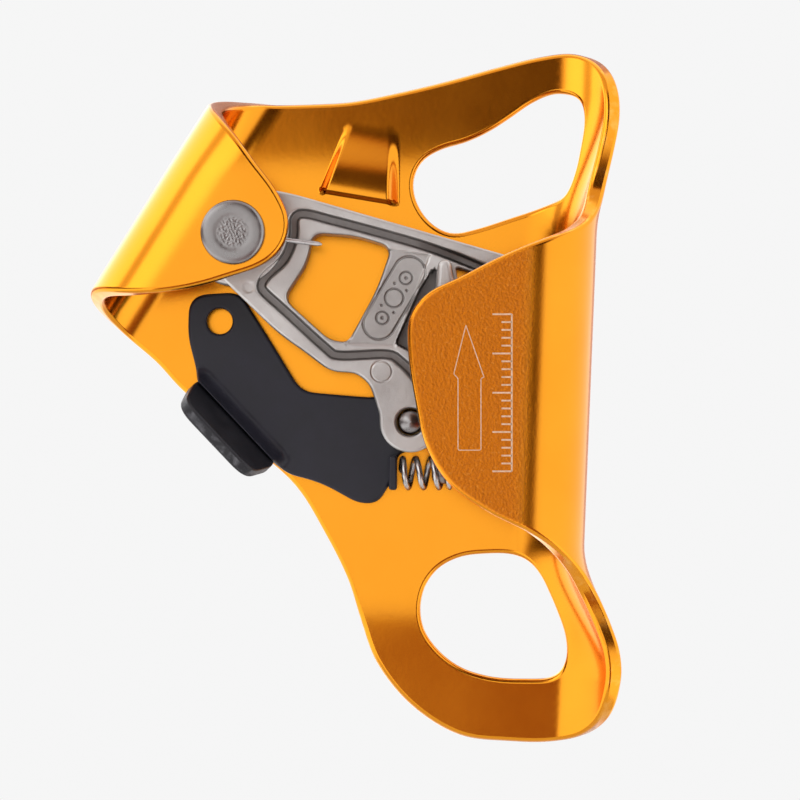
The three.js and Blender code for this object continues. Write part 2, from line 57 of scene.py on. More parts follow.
HALF_SHEET = 1.5
EDGE_ROUND = 0.85
EAR_RADIUS = 9.0
CHANNEL_RADIUS = 10.5
CHANNEL_START = 4.7
CHANNEL_TAPER = 0.04
CHANNEL_CENTRE_Z = 39.6
CHANNEL_STRAIGHT = 26
CHANNEL_FLARE_TOP = 4.9
CHANNEL_FLARE_BOTTOM = 8.8
FLARE_LENGTH = 24
EAR_FOLD = np.array([-35.8, 87.7])
EAR_TILT = math.radians(32)
EAR_ALONG = np.array([-math.sin(EAR_TILT), -math.cos(EAR_TILT)])
EAR_ACROSS = np.array([-math.cos(EAR_TILT), math.sin(EAR_TILT)])
SWEEP_TOP = 75
SWEEP_BOTTOM = 5
SWEEP_RADIUS = 60
SWEEP_ANGLE = math.radians(12)

CAM_AXIS = np.array([-43.3, 65.7])
CATCH_AXIS = np.array([-13.8, 34.1])
EAR_FRONT = -19.5

# ---------------------------------------------------------------- curves and outlines

CURVE_STEPS = 24
CORNER_STEPS = 13
POINTS_AT_ONCE = 4000


def even(points, step, closed=True):
    """Points spaced evenly along a polyline."""
    points = np.asarray(points, float)
    if closed:
        points = np.vstack([points, points[:1]])
    lengths = np.linalg.norm(np.diff(points, axis=0), axis=1)
    travelled = np.concatenate([[0], np.cumsum(lengths)])
    count = max(8, int(round(travelled[-1] / step)))
    at = np.linspace(0, travelled[-1], count, endpoint=not closed)
    return np.column_stack([np.interp(at, travelled, column) for column in points.T])


def cubic(t, start, end, leaving, arriving):
    """Points from start to end on a Hermite curve, given its tangents at both."""
    return (
        (2 * t**3 - 3 * t**2 + 1) * start + (t**3 - 2 * t**2 + t) * leaving
        + (3 * t**2 - 2 * t**3) * end + (t**3 - t**2) * arriving
    )


def quadratic(t, start, corner, end):
    """Points from start to end on a curve that turns towards a corner."""
    return (1 - t) ** 2 * start + 2 * t * (1 - t) * corner + t**2 * end


def closed_spline(points, step):
    """A closed centripetal Catmull-Rom curve as evenly spaced points."""
    p1 = np.asarray(points, float)
    p0, p2, p3 = np.roll(p1, 1, 0), np.roll(p1, -1, 0), np.roll(p1, -2, 0)
    spans = ((p0, p1), (p1, p2), (p2, p3))
    d0, d1, d2 = (np.linalg.norm(b - a, axis=1)[:, None] ** 0.5 for a, b in spans)
    m1 = ((p1 - p0) / d0 - (p2 - p0) / (d0 + d1) + (p2 - p1) / d1) * d1
    m2 = ((p2 - p1) / d1 - (p3 - p1) / (d1 + d2) + (p3 - p2) / d2) * d1
    t = np.linspace(0, 1, CURVE_STEPS, endpoint=False)[None, :, None]
    curve = cubic(t, *(v[:, None, :] for v in (p1, p2, m1, m2)))
    return even(curve.reshape(-1, 2), step)


def open_spline(points, step):
    """A Catmull-Rom curve through points, from the first to the last, evenly spaced."""
    points = np.asarray(points, float)
    padded = np.vstack([2 * points[0] - points[1], points, 2 * points[-1] - points[-2]])
    t = np.linspace(0, 1, CURVE_STEPS, endpoint=False)[:, None]
    parts = [
        cubic(t, b, c, (c - a) / 2, (d - b) / 2)
        for a, b, c, d in zip(padded, padded[1:], padded[2:], padded[3:])
    ]
    parts.append(points[-1:])
    return even(np.vstack(parts), step, closed=False)


def rounded_corners(corners, step):
    """A closed outline whose corners are [x, z, radius], each turned by a quadratic curve."""
    corners = np.asarray(corners, float)
    where, radii = corners[:, :2], corners[:, 2:]
    before, after = np.roll(where, 1, 0) - where, np.roll(where, -1, 0) - where
    start = where + before / np.linalg.norm(before, axis=1)[:, None] * radii
    end = where + after / np.linalg.norm(after, axis=1)[:, None] * radii
    t = np.linspace(0, 1, CORNER_STEPS)[None, :, None]
    curve = quadratic(t, *(v[:, None, :] for v in (start, where, end)))
    return even(curve.reshape(-1, 2), step)


def circle(centre, radius, count):
    angle = np.arange(count) / count * 2 * math.pi
    return np.column_stack([centre[0] + radius * np.cos(angle), centre[1] + radius * np.sin(angle)])


def signed_area(loop):
    after = np.roll(loop, -1, 0)
    return 0.5 * np.sum(loop[:, 0] * after[:, 1] - after[:, 0] * loop[:, 1])


def turned(loop, anticlockwise):
    return loop if (signed_area(loop) > 0) == anticlockwise else loop[::-1]


def blurred(loop, spread):
    """A closed loop smoothed by a Gaussian of that many points."""
    reach = int(3 * spread) + 1
    weights = np.exp(-0.5 * (np.arange(-reach, reach + 1) / spread) ** 2)
    weights /= weights.sum()
    return sum(w * np.roll(loop, k, 0) for w, k in zip(weights, range(-reach, reach + 1)))


def left_normals(loop):
    along = np.roll(loop, -1, 0) - np.roll(loop, 1, 0)
    along /= np.linalg.norm(along, axis=1)[:, None]
    return np.column_stack([-along[:, 1], along[:, 0]])


def line_distance(points, line, closed=False):
    """Distance of each point from a polyline."""
    starts = line if closed else line[:-1]
    ends = np.roll(line, -1, 0) if closed else line[1:]
    nearest = np.full(len(points), np.inf)
    for first in range(0, len(points), POINTS_AT_ONCE):
        some = slice(first, first + POINTS_AT_ONCE)
        p = points[some, None, :]
        run = (ends - starts)[None]
        t = np.clip(np.sum((p - starts) * run, 2) / np.sum(run * run, 2), 0, 1)
        away = np.linalg.norm(p - starts - t[..., None] * run, axis=2)
        nearest[some] = away.min(1)
    return nearest


def within(points, loops):
    """Whether each point is inside an odd number of the loops."""
    inside = np.zeros(len(points), bool)
    for loop in loops:
        x0, z0 = loop[:, 0], loop[:, 1]
        x1, z1 = np.roll(x0, -1), np.roll(z0, -1)
        for first in range(0, len(points), POINTS_AT_ONCE):
            some = slice(first, first + POINTS_AT_ONCE)
            x, z = points[some, :1], points[some, 1:]
            crosses = (z0 > z) != (z1 > z)
            at = x0 + (z - z0) * (x1 - x0) / np.where(z1 == z0, 1e-12, z1 - z0)
            inside[some] ^= (np.sum(crosses & (x < at), 1) % 2).astype(bool)
    return inside


def smoothstep(value, low, high):
    t = np.clip((value - low) / (high - low), 0, 1)
    return t * t * (3 - 2 * t)


# ---------------------------------------------------------------- mesh building


ROW_HEIGHT = 0.866
SAME_POINT = 1e-7
TURNED_SEGMENTS = 96
WIRE_SIDES = 14


def shade_smooth(mesh):
    mesh.polygons.foreach_set("use_smooth", [True] * len(mesh.polygons))


def add_object(name, vertices, faces, normals=None, attributes=None):
    """A smooth-shaded object from vertices in millimetres."""
    mesh = bpy.data.meshes.new(name)
    mesh.from_pydata((np.asarray(vertices) * MM).tolist(), [], faces)
    shade_smooth(mesh)
    for key, values in (attributes or {}).items():
        layer = mesh.attributes.new(key, "FLOAT", "POINT")
        layer.data.foreach_set("value", np.asarray(values, np.float32))
    mesh.update()
    if normals is not None:
        mesh.normals_split_custom_set_from_vertices(np.asarray(normals).tolist())
    obj = bpy.data.objects.new(name, mesh)
    bpy.context.scene.collection.objects.link(obj)
    return obj


def grid_points(loops, spacing, margin, box=None):
    """Staggered points on the metal between the loops, kept a margin away from each."""
    everything = np.vstack(loops)
    low, high = (everything.min(0), everything.max(0)) if box is None else np.asarray(box, float)
    xs = np.arange(low[0], high[0], spacing)
    zs = np.arange(low[1], high[1], spacing * ROW_HEIGHT)
    x, z = np.meshgrid(xs, zs)
    x = x + (np.arange(len(zs)) % 2)[:, None] * spacing / 2
    points = np.column_stack([x.ravel(), z.ravel()])
    points = points[within(points, loops)]
    for loop in loops:
        points = points[line_distance(points, loop, closed=True) > margin]
    return points


def refined(points, loops, spacing, margin, low, high):
    """The points, with those inside a box replaced by a finer grid."""
    outside = ((points < low) | (points > high)).any(1)
    return np.vstack([points[outside], grid_points(loops, spacing, margin, [low, high])])


def edge_rows(start, end, inset, step, offsets):
    """Rows of points beside a straight edge, so that the steps along it stay straight."""
    start, end = np.asarray(start, float), np.asarray(end, float)
    along = (end - start) / np.linalg.norm(end - start)
    inward = np.array([-along[1], along[0]])
    row = even([start + inset * along, end - inset * along], step, closed=False)
    return np.vstack([row + inward * offset for offset in offsets])


class Blank:
    """A flat plate with holes, as rings that round its edges and triangles that fill it."""

    def __init__(self, loops, rounds, interior, steps=5):
        points, drops, outward, tilts = [], [], [], []
        self.quads, self.rims = [], []
        inner_loops, inner_index = [], []
        base = 0
        for k, (loop, radius) in enumerate(zip(loops, rounds)):
            loop = turned(loop, anticlockwise=(k == 0))
            normal = left_normals(loop)
            count = len(loop)
            radius = np.broadcast_to(np.asarray(radius, float), count)
            here = np.arange(count)
            after = np.roll(here, -1)
            for step in range(steps + 1):
                tilt = step / steps * math.pi / 2
                points.append(loop + normal * (radius * (1 - math.cos(tilt)))[:, None])
                drops.append(radius * (1 - math.sin(tilt)))
                outward.append(-normal)
                tilts.append(np.full(count, tilt))
                if step < steps:
                    a, b = base + here, base + after
                    self.quads += np.column_stack([a, b, b + count, a + count]).tolist()
                base += count
            self.rims.append((base - (steps + 1) * count + here, base - (steps + 1) * count + after))
            inner_loops.append(points[-1])
            inner_index.append(base - count + here)
        coordinates = np.vstack([*inner_loops, interior])
        owner = np.concatenate([*inner_index, base + np.arange(len(interior))])
        edges, start = [], 0
        for loop in inner_loops:
            here = start + np.arange(len(loop))
            edges += np.column_stack([here, np.roll(here, -1)]).tolist()
            start += len(loop)
        found = delaunay_2d_cdt([Vector(p) for p in coordinates.tolist()], edges, [], 0, 1e-6)
        where = np.array([tuple(v) for v in found[0]])
        source = np.array([owner[ids[0]] if ids else -1 for ids in found[3]])
        triangles = np.array(found[2])
        middle = where[triangles].mean(1)
        keep = within(middle, inner_loops) & (source[triangles] >= 0).all(1)
        corners = where[triangles]
        turn = np.cross(corners[:, 1] - corners[:, 0], corners[:, 2] - corners[:, 0])
        triangles = source[triangles]
        triangles[turn < 0] = triangles[turn < 0][:, ::-1]
        self.triangles = triangles[keep & (np.abs(turn) > 1e-9)].tolist()
        points.append(interior)
        drops.append(np.zeros(len(interior)))
        outward.append(np.zeros((len(interior), 2)))
        tilts.append(np.full(len(interior), math.pi / 2))
        self.points = np.vstack(points)
        self.drop = np.concatenate(drops)
        self.outward = np.vstack(outward)
        self.tilt = np.concatenate(tilts)

    def side(self, place, facing):
        """Positions and normals of one side. place(x, z, drop) puts a point in space."""
        x, z = self.points.T
        nudge = 0.04
        positions = place(x, z, self.drop)
        flat = np.zeros(len(x))
        across = place(x + nudge, z, flat) - place(x - nudge, z, flat)
        along = place(x, z + nudge, flat) - place(x, z - nudge, flat)
        normal = np.cross(across, along) * facing
        normal /= np.linalg.norm(normal, axis=1)[:, None]
        out_x, out_z = self.outward.T * nudge
        out = place(x + out_x, z + out_z, self.drop) - positions
        out -= np.sum(out * normal, 1)[:, None] * normal
        length = np.linalg.norm(out, axis=1)[:, None]
        out = np.where(length > 1e-9, out / np.maximum(length, 1e-9), 0)
        normal = normal * np.sin(self.tilt)[:, None] + out * np.cos(self.tilt)[:, None]
        return positions, normal / np.linalg.norm(normal, axis=1)[:, None]

    def solid(self, name, front, rear, attributes=None):
        """A closed object between two sides."""
        front_points, front_normals = self.side(front, 1)
        rear_points, rear_normals = self.side(rear, -1)
        count = len(self.points)
        faces = self.quads + self.triangles
        faces = faces + [[i + count for i in reversed(face)] for face in faces]
        for here, after in self.rims:
            faces += np.column_stack([here, here + count, after + count, after]).tolist()
        doubled = {key: np.concatenate([v, v]) for key, v in (attributes or {}).items()}
        return add_object(
            name, np.vstack([front_points, rear_points]), faces,
            np.vstack([front_normals, rear_normals]), doubled,
        )

    def plate(self, name, front_y, rear_y, attributes):
        """A closed object that faces -Y. Each y is a number or a function of x and z."""
        def depth(y, x, z):
            return y(x, z) if callable(y) else y

        def front(x, z, drop):
            return np.column_stack([x, depth(front_y, x, z) + drop, z])

        def rear(x, z, drop):
            return np.column_stack([x, depth(rear_y, x, z) - drop, z])

        return self.solid(name, front, rear, attributes)

    def worn_edge(self, steepness):
        """An attribute that is 0 on the flat sides and rises to 1 round the edges."""
        return {"edge": np.clip(self.drop * steepness, 0, 1)}


def lathe(name, profile, axis, ripple=None):
    """A round solid about an axis along Y.

    profile is [radius, y] from rear to front. It starts and ends on the axis or closes on itself.
    """
    profile = np.asarray(profile, float)
    segments, rows = TURNED_SEGMENTS, len(profile)
    angle = np.arange(segments) / segments * 2 * math.pi
    radius = np.repeat(profile[:, 0], segments)
    y = np.repeat(profile[:, 1], segments)
    turn = np.tile(angle, rows)
    if ripple is not None:
        y = y + ripple(radius, turn, y)
    points = np.column_stack([axis[0] + radius * np.cos(turn), y, axis[1] + radius * np.sin(turn)])
    faces = []
    here, after = np.arange(segments), np.roll(np.arange(segments), -1)
    for row in range(rows - 1):
        a, b = row * segments + here, row * segments + after
        faces += np.column_stack([a, b, b + segments, a + segments]).tolist()
    obj = add_object(name, points, faces)
    weld(obj)
    return obj


def weld(obj):
    """Joins the points that lie together and turns every face outward."""
    mesh = bmesh.new()
    mesh.from_mesh(obj.data)
    bmesh.ops.remove_doubles(mesh, verts=mesh.verts, dist=SAME_POINT)
    bmesh.ops.recalc_face_normals(mesh, faces=mesh.faces)
    mesh.to_mesh(obj.data)
    mesh.free()
    shade_smooth(obj.data)


def sharpen(obj, degrees):
    """Edges sharper than an angle are shaded sharp."""
    obj.data.set_sharp_from_angle(angle=math.radians(degrees))


def tube(name, path, radius):
    """A round wire along a path of points, whose last three rings at each end make a dome."""
    path = np.asarray(path, float)
    sides = WIRE_SIDES
    forward = np.gradient(path, axis=0)
    forward /= np.linalg.norm(forward, axis=1)[:, None]
    side = np.cross(forward[0], [0.3, 0.9, 0.2])
    rings, normals = [], []
    angle = np.arange(sides) / sides * 2 * math.pi
    count = len(path)
    for i in range(count):
        side = side - np.dot(side, forward[i]) * forward[i]
        side /= np.linalg.norm(side)
        up = np.cross(forward[i], side)
        spoke = np.outer(np.cos(angle), side) + np.outer(np.sin(angle), up)
        ends = min(i, count - 1 - i)
        scale = math.sin(math.pi / 2 * min(1, (ends + 0.6) / 3))
        rings.append(path[i] + spoke * radius * scale)
        normals.append(spoke)
    here, after = np.arange(sides), np.roll(np.arange(sides), -1)
    faces = []
    for i in range(count - 1):
        a, b = i * sides + here, i * sides + after
        faces += np.column_stack([a, b, b + sides, a + sides]).tolist()
    faces.append(list(range(sides))[::-1])
    faces.append(list(range((count - 1) * sides, count * sides)))
    return add_object(name, np.vstack(rings), faces, np.vstack(normals))


# ---------------------------------------------------------------- materials


class Nodes:
    """A node tree, with short ways to add nodes to it. An input is a value or a socket."""

    def __init__(self, tree):
        self.tree = tree

    def add(self, kind, settings=None, **inputs):
        """Adds a node. _0 is its first input, and other inputs go by name."""
        node = self.tree.nodes.new(kind)
        for key, value in (settings or {}).items():
            setattr(node, key, value)
        for key, value in inputs.items():
            self.feed(node.inputs[int(key[1:]) if key[0] == "_" else key], value)
        return node

    def feed(self, socket, value):
        if isinstance(value, bpy.types.NodeSocket):
            self.tree.links.new(value, socket)
        else:
            socket.default_value = value

    def maths(self, operation, *values):
        inputs = {f"_{k}": value for k, value in enumerate(values)}
        return self.add("ShaderNodeMath", {"operation": operation}, **inputs).outputs[0]

    def times(self, a, b):
        return self.maths("MULTIPLY", a, b)

    def most(self, a, b):
        return self.maths("MAXIMUM", a, b)

    def ramp(self, value, low, high, to_low=0.0, to_high=1.0, kind="LINEAR"):
        settings = {"interpolation_type": kind}
        made = self.add("ShaderNodeMapRange", settings, _0=value, _1=low, _2=high, _3=to_low, _4=to_high)
        return made.outputs[0]

    def fade(self, value, low, high, to_low=0.0, to_high=1.0):
        return self.ramp(value, low, high, to_low, to_high, "SMOOTHSTEP")

    def mix(self, factor, a, b):
        return self.add("ShaderNodeMix", {"data_type": "RGBA"}, _0=factor, _6=a, _7=b).outputs[2]


class Shader(Nodes):
    """A principled material and the nodes that feed it."""

    def __init__(self, name, **sockets):
        self.material = bpy.data.materials.new(name)
        self.material.use_nodes = True
        super().__init__(self.material.node_tree)
        self.surface = self.tree.nodes["Principled BSDF"]
        self.set(**sockets)
        self.place = self.add("ShaderNodeTexCoord").outputs["Object"]

    def noise(self, scale, detail, stretch=(1, 1, 1)):
        at = self.add("ShaderNodeMapping", _0=self.place, _3=stretch).outputs[0]
        made = self.add("ShaderNodeTexNoise", Vector=at, Scale=scale, Detail=detail, Roughness=0.55)
        return made.outputs["Fac"]

    def cells(self, scale):
        return self.add("ShaderNodeTexVoronoi", Vector=self.place, Scale=scale).outputs["Distance"]

    def attribute(self, name):
        return self.add("ShaderNodeAttribute", {"attribute_name": name}).outputs["Fac"]

    def bump(self, height, distance_mm, strength, under=None):
        node = self.add("ShaderNodeBump", Height=height, Distance=distance_mm * MM, Strength=strength)
        if under is not None:
            self.feed(node.inputs["Normal"], under)
        return node.outputs[0]

    def set(self, **inputs):
        """Feeds the surface, whose inputs are named with _ for each space."""
        for key, value in inputs.items():
            self.feed(self.surface.inputs[key.replace("_", " ")], value)
        return self.material


def anodised():
    """Gold anodising, with a blasted flap and worn edges."""
    s = Shader("body_anodised", Metallic=1.0, Coat_Weight=0.1, Coat_Roughness=0.12)
    cloud = s.noise(60, 3)
    grit = s.noise(2300, 3)
    blasted = s.attribute("blasted")
    edge = s.attribute("edge")
    colour = s.mix(s.ramp(cloud, 0.2, 0.8), (0.70, 0.255, 0.011, 1), (0.78, 0.295, 0.016, 1))
    colour = s.mix(s.times(blasted, 0.85), colour, (0.52, 0.135, 0.004, 1))
    speck = s.times(s.ramp(s.noise(1700, 3), 0.58, 0.7), s.times(blasted, 0.22))
    colour = s.mix(speck, colour, (0.80, 0.36, 0.06, 1))
    worn = s.ramp(s.times(edge, s.noise(420, 4)), 0.5, 0.66)
    colour = s.mix(s.times(worn, 0.35), colour, (0.92, 0.5, 0.12, 1))
    rough = s.maths("ADD", s.ramp(cloud, 0.2, 0.8, 0.17, 0.22), s.times(blasted, 0.14))
    peel = s.bump(s.noise(900, 2), 0.012, 0.5)
    grain = s.bump(grit, 0.10, s.ramp(blasted, 0, 1, 0.015, 0.9), peel)
    return s.set(Base_Color=colour, Roughness=rough, Normal=grain)


def cast_steel():
    """Pitted grey castings, with painted shade: darker by the depth of the grooves and cast marks, where
    shade falls.
    """
    s = Shader("cam_cast_steel", Metallic=1.0)
    cloud = s.noise(120, 4)
    colour = s.mix(s.ramp(cloud, 0.3, 0.72), (0.43, 0.415, 0.405, 1), (0.56, 0.545, 0.53, 1))
    # Painted shade: the grooves and cast marks are darkened towards near-black by their depth, standing in
    # for the shade that falls in them.
    shade = s.ramp(s.attribute("depth_and_painted_shade"), 0.15, 1.0, 0.0, 0.85)
    colour = s.mix(shade, colour, (0.10, 0.09, 0.085, 1))
    rough = s.ramp(s.noise(300, 3), 0.3, 0.7, 0.40, 0.54)
    skin = s.bump(s.noise(1100, 4), 0.05, 0.7)
    pitted = s.bump(s.ramp(s.cells(1900), 0.0, 0.35), 0.012, 0.5, skin)
    return s.set(Base_Color=colour, Roughness=rough, Normal=pitted)


def turned_steel():
    """Machined steel with fine marks across the axis."""
    s = Shader("rivet_steel", Metallic=1.0)
    cloud = s.noise(500, 4)
    cuts = s.noise(260, 3, (1, 14, 1))
    colour = s.mix(s.ramp(cloud, 0.3, 0.7), (0.232, 0.2216, 0.2184, 1), (0.29, 0.277, 0.273, 1))
    rough = s.ramp(cloud, 0.3, 0.7, 0.24, 0.4)
    return s.set(Base_Color=colour, Roughness=rough, Normal=s.bump(cuts, 0.012, 0.5))


def spring_steel():
    s = Shader("spring_steel", Metallic=1.0)
    cloud = s.noise(900, 3)
    colour = s.mix(s.ramp(cloud, 0.3, 0.7), (0.40, 0.39, 0.39, 1), (0.58, 0.57, 0.565, 1))
    rough = s.ramp(cloud, 0.3, 0.7, 0.22, 0.36)
    return s.set(Base_Color=colour, Roughness=rough, Normal=s.bump(cloud, 0.01, 0.5))


def bronze():
    s = Shader("bearing_bronze", Metallic=1.0)
    cloud = s.noise(700, 4)
    colour = s.mix(s.ramp(cloud, 0.3, 0.7), (0.50, 0.30, 0.13, 1), (0.68, 0.43, 0.20, 1))
    rough = s.ramp(cloud, 0.3, 0.7, 0.3, 0.5)
    return s.set(Base_Color=colour, Roughness=rough, Normal=s.bump(cloud, 0.02, 0.5))


def black(name, tone, shine, wear, rough_low, rough_high, grain_mm):
    """A black finish whose edges are rubbed to the grey level wear."""
    s = Shader(name, Specular_IOR_Level=shine)
    cloud = s.noise(260, 4)
    light = tuple(1.7 * v for v in tone) + (1,)
    worn = s.ramp(s.times(s.attribute("edge"), s.noise(500, 4)), 0.46, 0.66, 0.0, 0.6)
    colour = s.mix(s.ramp(cloud, 0.3, 0.75), tone + (1,), light)
    colour = s.mix(worn, colour, (wear, wear, 1.1 * wear, 1))
    rough = s.ramp(cloud, 0.3, 0.7, rough_low, rough_high)
    return s.set(Base_Color=colour, Roughness=rough, Normal=s.bump(s.noise(2100, 3), grain_mm, 0.5))


def laser_mark():
    s = Shader("laser_mark", Metallic=0.6)
    cloud = s.noise(1600, 3)
    colour = s.mix(s.ramp(cloud, 0.35, 0.7), (0.52, 0.33, 0.20, 1), (0.68, 0.48, 0.34, 1))
    rough = s.ramp(cloud, 0.3, 0.7, 0.45, 0.65)
    return s.set(Base_Color=colour, Roughness=rough, Normal=s.bump(cloud, 0.01, 0.4))


body_anodised = anodised()
cam_cast_steel = cast_steel()
rivet_steel = turned_steel()
spring_wire = spring_steel()
bearing_bronze = bronze()
catch_black = black("catch_black", (0.007, 0.007, 0.011), 0.34, 0.05, 0.36, 0.48, 0.012)
tab_black = black("tab_black", (0.006, 0.006, 0.008), 0.36, 0.11, 0.42, 0.55, 0.02)
mark_pale = laser_mark()


def fit(obj, material, body, slot, *nodes):
    """Finishes a piece: its material, the body it rides on, and what it stands for. The slot is not used.
    """
    obj.data.materials.append(material)
    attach(obj, body)
    if nodes:
        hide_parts(*nodes)
    return obj


# ---------------------------------------------------------------- the body's bent sheet

# Each ear point is [distance down the fold line, developed distance across it].
EAR_OUTLINE = [
    [-0.3, 1.2], [0.9, 3.5], [2.8, 7], [5.3, 13], [7, 20], [8.5, 24.9], [10.7, 30.3], [13, 36.2],
    [15.7, 40.1], [19.1, 41.7], [22.4, 41.5], [25.5, 40], [29.1, 37], [32.6, 34], [36.7, 29.6],
    [40.6, 24], [43.4, 17], [45.6, 10], [47.2, 2],
]
PLATE_OUTLINE = [
    [-57.2, 44.2], [-53, 39.6], [-43, 31.4], [-33.5, 23.2], [-28.6, 15.4], [-24.4, 7], [-22.2, 0],
    [-19.6, -7.2], [-13.6, -14.8], [-5.2, -20.1], [3.4, -21.2], [10.4, -21.3], [16.6, -20],
    [21.4, -16.2], [23.8, -10.3], [24.2, -4.6], [23.6, 0.6], [24.4, 6.4], [28, 11.2], [34.6, 15.8],
    [42, 19.4], [48.6, 24], [52.9, 30.2], [55.1, 37.2], [57, 45.4], [57.3, 51.6], [54.8, 55.4],
    [49.4, 58.2], [43.4, 61.4], [36.6, 64.4], [30.6, 66.6], [26.6, 69.2], [23.4, 73.6], [23.2, 80],
    [23.6, 86], [22.6, 91.6], [19.4, 95.8], [14.4, 97.6], [8.6, 97], [1.7, 95.3], [-6.9, 92.9],
    [-15.5, 90.8], [-24.1, 89.1], [-31, 88.7],
]
UPPER_EYE = [
    [15.9, 89.4], [16.9, 86.3], [16.4, 80.8], [15.6, 76.4], [13.8, 72.8], [10, 71.2], [3.4, 69],
    [-2.6, 67.1], [-6.6, 66.4], [-10, 68], [-12.6, 71.6], [-13.2, 75.4], [-11.7, 78.8], [-8.6, 80.8],
    [-4, 82.2], [0, 84.1], [3.8, 86.6], [7.6, 89.2], [11.8, 90.7],
]
LOWER_EYE = [
    [-0.9, 11.4], [3.8, 11.3], [7, 10], [9.2, 7.6], [10.6, 4.8], [12.2, 0.8], [13.3, -3],
    [13.2, -7], [11.2, -9.8], [6, -10.3], [0, -9.9], [-5.2, -8.2], [-9, -5.2], [-11.4, -1.6],
    [-12, 2], [-11.2, 5.8], [-8.8, 9], [-5, 10.9],
]


def ear_distance(x, z):
    """How far a point of the blank lies across the ear's fold line."""
    return (x - EAR_FOLD[0]) * EAR_ACROSS[0] + (z - EAR_FOLD[1]) * EAR_ACROSS[1]


def channel_start(z):
    up = z - CHANNEL_CENTRE_Z
    flare = np.where(up > 0, CHANNEL_FLARE_TOP, CHANNEL_FLARE_BOTTOM)
    flared = smoothstep(np.abs(up) - CHANNEL_STRAIGHT, 0, FLARE_LENGTH)
    return CHANNEL_START + CHANNEL_TAPER * up + flare * flared


def sweep_back(z):
    beyond = np.maximum(0, np.maximum(z - SWEEP_TOP, SWEEP_BOTTOM - z))
    curved = np.minimum(beyond, SWEEP_RADIUS * math.sin(SWEEP_ANGLE))
    straight = (beyond - curved) * math.tan(SWEEP_ANGLE)
    return SWEEP_RADIUS - np.sqrt(SWEEP_RADIUS**2 - curved**2) + straight


def bend(x, z, offset):
    """Where a point of the blank comes to lie, offset from the middle surface to the inside."""
    fold = ear_distance(x, z)
    on_ear = fold > 0
    start = channel_start(z)
    beyond = np.where(on_ear, fold, np.maximum(0, x - start))
    radius = np.where(on_ear, EAR_RADIUS, CHANNEL_RADIUS)
    across_x = np.where(on_ear, EAR_ACROSS[0], 1.0)
    across_z = np.where(on_ear, EAR_ACROSS[1], 0.0)
    angle = np.minimum(beyond / radius, math.pi)
    flat = beyond - angle * radius
    shift = radius * np.sin(angle) - flat - offset * np.sin(angle) - beyond
    depth = radius * (1 - np.cos(angle)) + offset * np.cos(angle)
    final_z = z + across_z * shift
    return np.column_stack([x + across_x * shift, sweep_back(final_z) - depth, final_z])


# The stop is pressed out of the plate: a ramp that rises downward to a sheared lower edge.
STOP_LEFT = [[-24.4, 84.2], [-28.6, 73.7]]
STOP_BOTTOM = [[-28.6, 73.7], [-17.3, 71.8]]
STOP_RIGHT = [[-17.3, 71.8], [-17.2, 84.2]]
STOP_EDGES = (STOP_LEFT, STOP_BOTTOM, STOP_RIGHT)
STOP_BOX = ([-32, 67.5], [-12.5, 86.5])
STOP_HEIGHT = 2.9
STOP_REAR_SHARE = 0.85
STOP_ROWS = (-0.8, -0.55, -0.35, -0.17, 0.0, 0.17, 0.4, 0.7)
RIVET_HOLE = 3.15


def side_of(x, z, line):
    """Distance to the left of a straight line from its first point to its second."""
    (x0, z0), (x1, z1) = line
    length = math.hypot(x1 - x0, z1 - z0)
    return ((x1 - x0) * (z - z0) - (z1 - z0) * (x - x0)) / length


def stop_height(x, z):
    bottom = side_of(x, z, STOP_BOTTOM)
    ramp = 1 - smoothstep(bottom, 0.5, 12.6)
    left = smoothstep(side_of(x, z, STOP_LEFT), -0.7, 0.5)
    right = smoothstep(side_of(x, z, STOP_RIGHT), -1.7, 0.5)
    return STOP_HEIGHT * ramp * (left * right) * smoothstep(bottom, -0.5, 0.15)


def body_front(x, z, drop):
    return bend(x, z, HALF_SHEET - drop + stop_height(x, z))


def body_rear(x, z, drop):
    return bend(x, z, -HALF_SHEET + drop + STOP_REAR_SHARE * stop_height(x, z))


def ear_copy(point):
    """The place on the flat blank that the fold brings over a point of the back plate."""
    depth = -ear_distance(*point)
    return point + EAR_ACROSS * (math.pi * EAR_RADIUS + 2 * depth)


def body_sheet():
    ear = [EAR_FOLD + a * EAR_ALONG + b * EAR_ACROSS for a, b in EAR_OUTLINE]
    loops = [
        blurred(closed_spline(ear + PLATE_OUTLINE, 0.8), 1.2),
        blurred(closed_spline(UPPER_EYE, 0.8), 1.0),
        blurred(closed_spline(LOWER_EYE, 0.8), 1.0),
        circle(CAM_AXIS, RIVET_HOLE, 48),
        circle(ear_copy(CAM_AXIS), RIVET_HOLE, 48),
    ]
    rounds = [EDGE_ROUND, EDGE_ROUND, EDGE_ROUND, 0.3, 0.3]
    interior = refined(grid_points(loops, 1.15, 1.3), loops, 0.36, 1.2, *STOP_BOX)
    for line in STOP_EDGES:
        interior = interior[line_distance(interior, np.array(line, float)) > 0.95]
    rows = [edge_rows(*line, 0.5, 0.3, STOP_ROWS) for line in STOP_EDGES]
    blank = Blank(loops, rounds, np.vstack([interior, *rows]))
    x, z = blank.points.T
    attributes = blank.worn_edge(3 / EDGE_ROUND)
    half_turn = math.pi * CHANNEL_RADIUS
    flap = smoothstep(x - channel_start(z), half_turn - 3, half_turn + 1)
    attributes["blasted"] = flap * (1 - np.clip(attributes["edge"] * 1.5, 0, 1))
    return blank.solid("body_sheet", body_front, body_rear, attributes)


fit(body_sheet(), body_anodised, "body", "body_anodised", "frame")

# ---------------------------------------------------------------- the toothed cam

ARM_REAR = -2.4
LOWER_ARM_REAR = -7.2
ARM_FRONT = -12.0
HEAD_REAR = -4.7
HEAD_FRONT = -16.3
LUG_RADIUS = 5.2
LUG_CORNER = 0.3
CAM_BORE = 4.05
HUB_REAR = -2.3
HUB_NOSE = -15.7

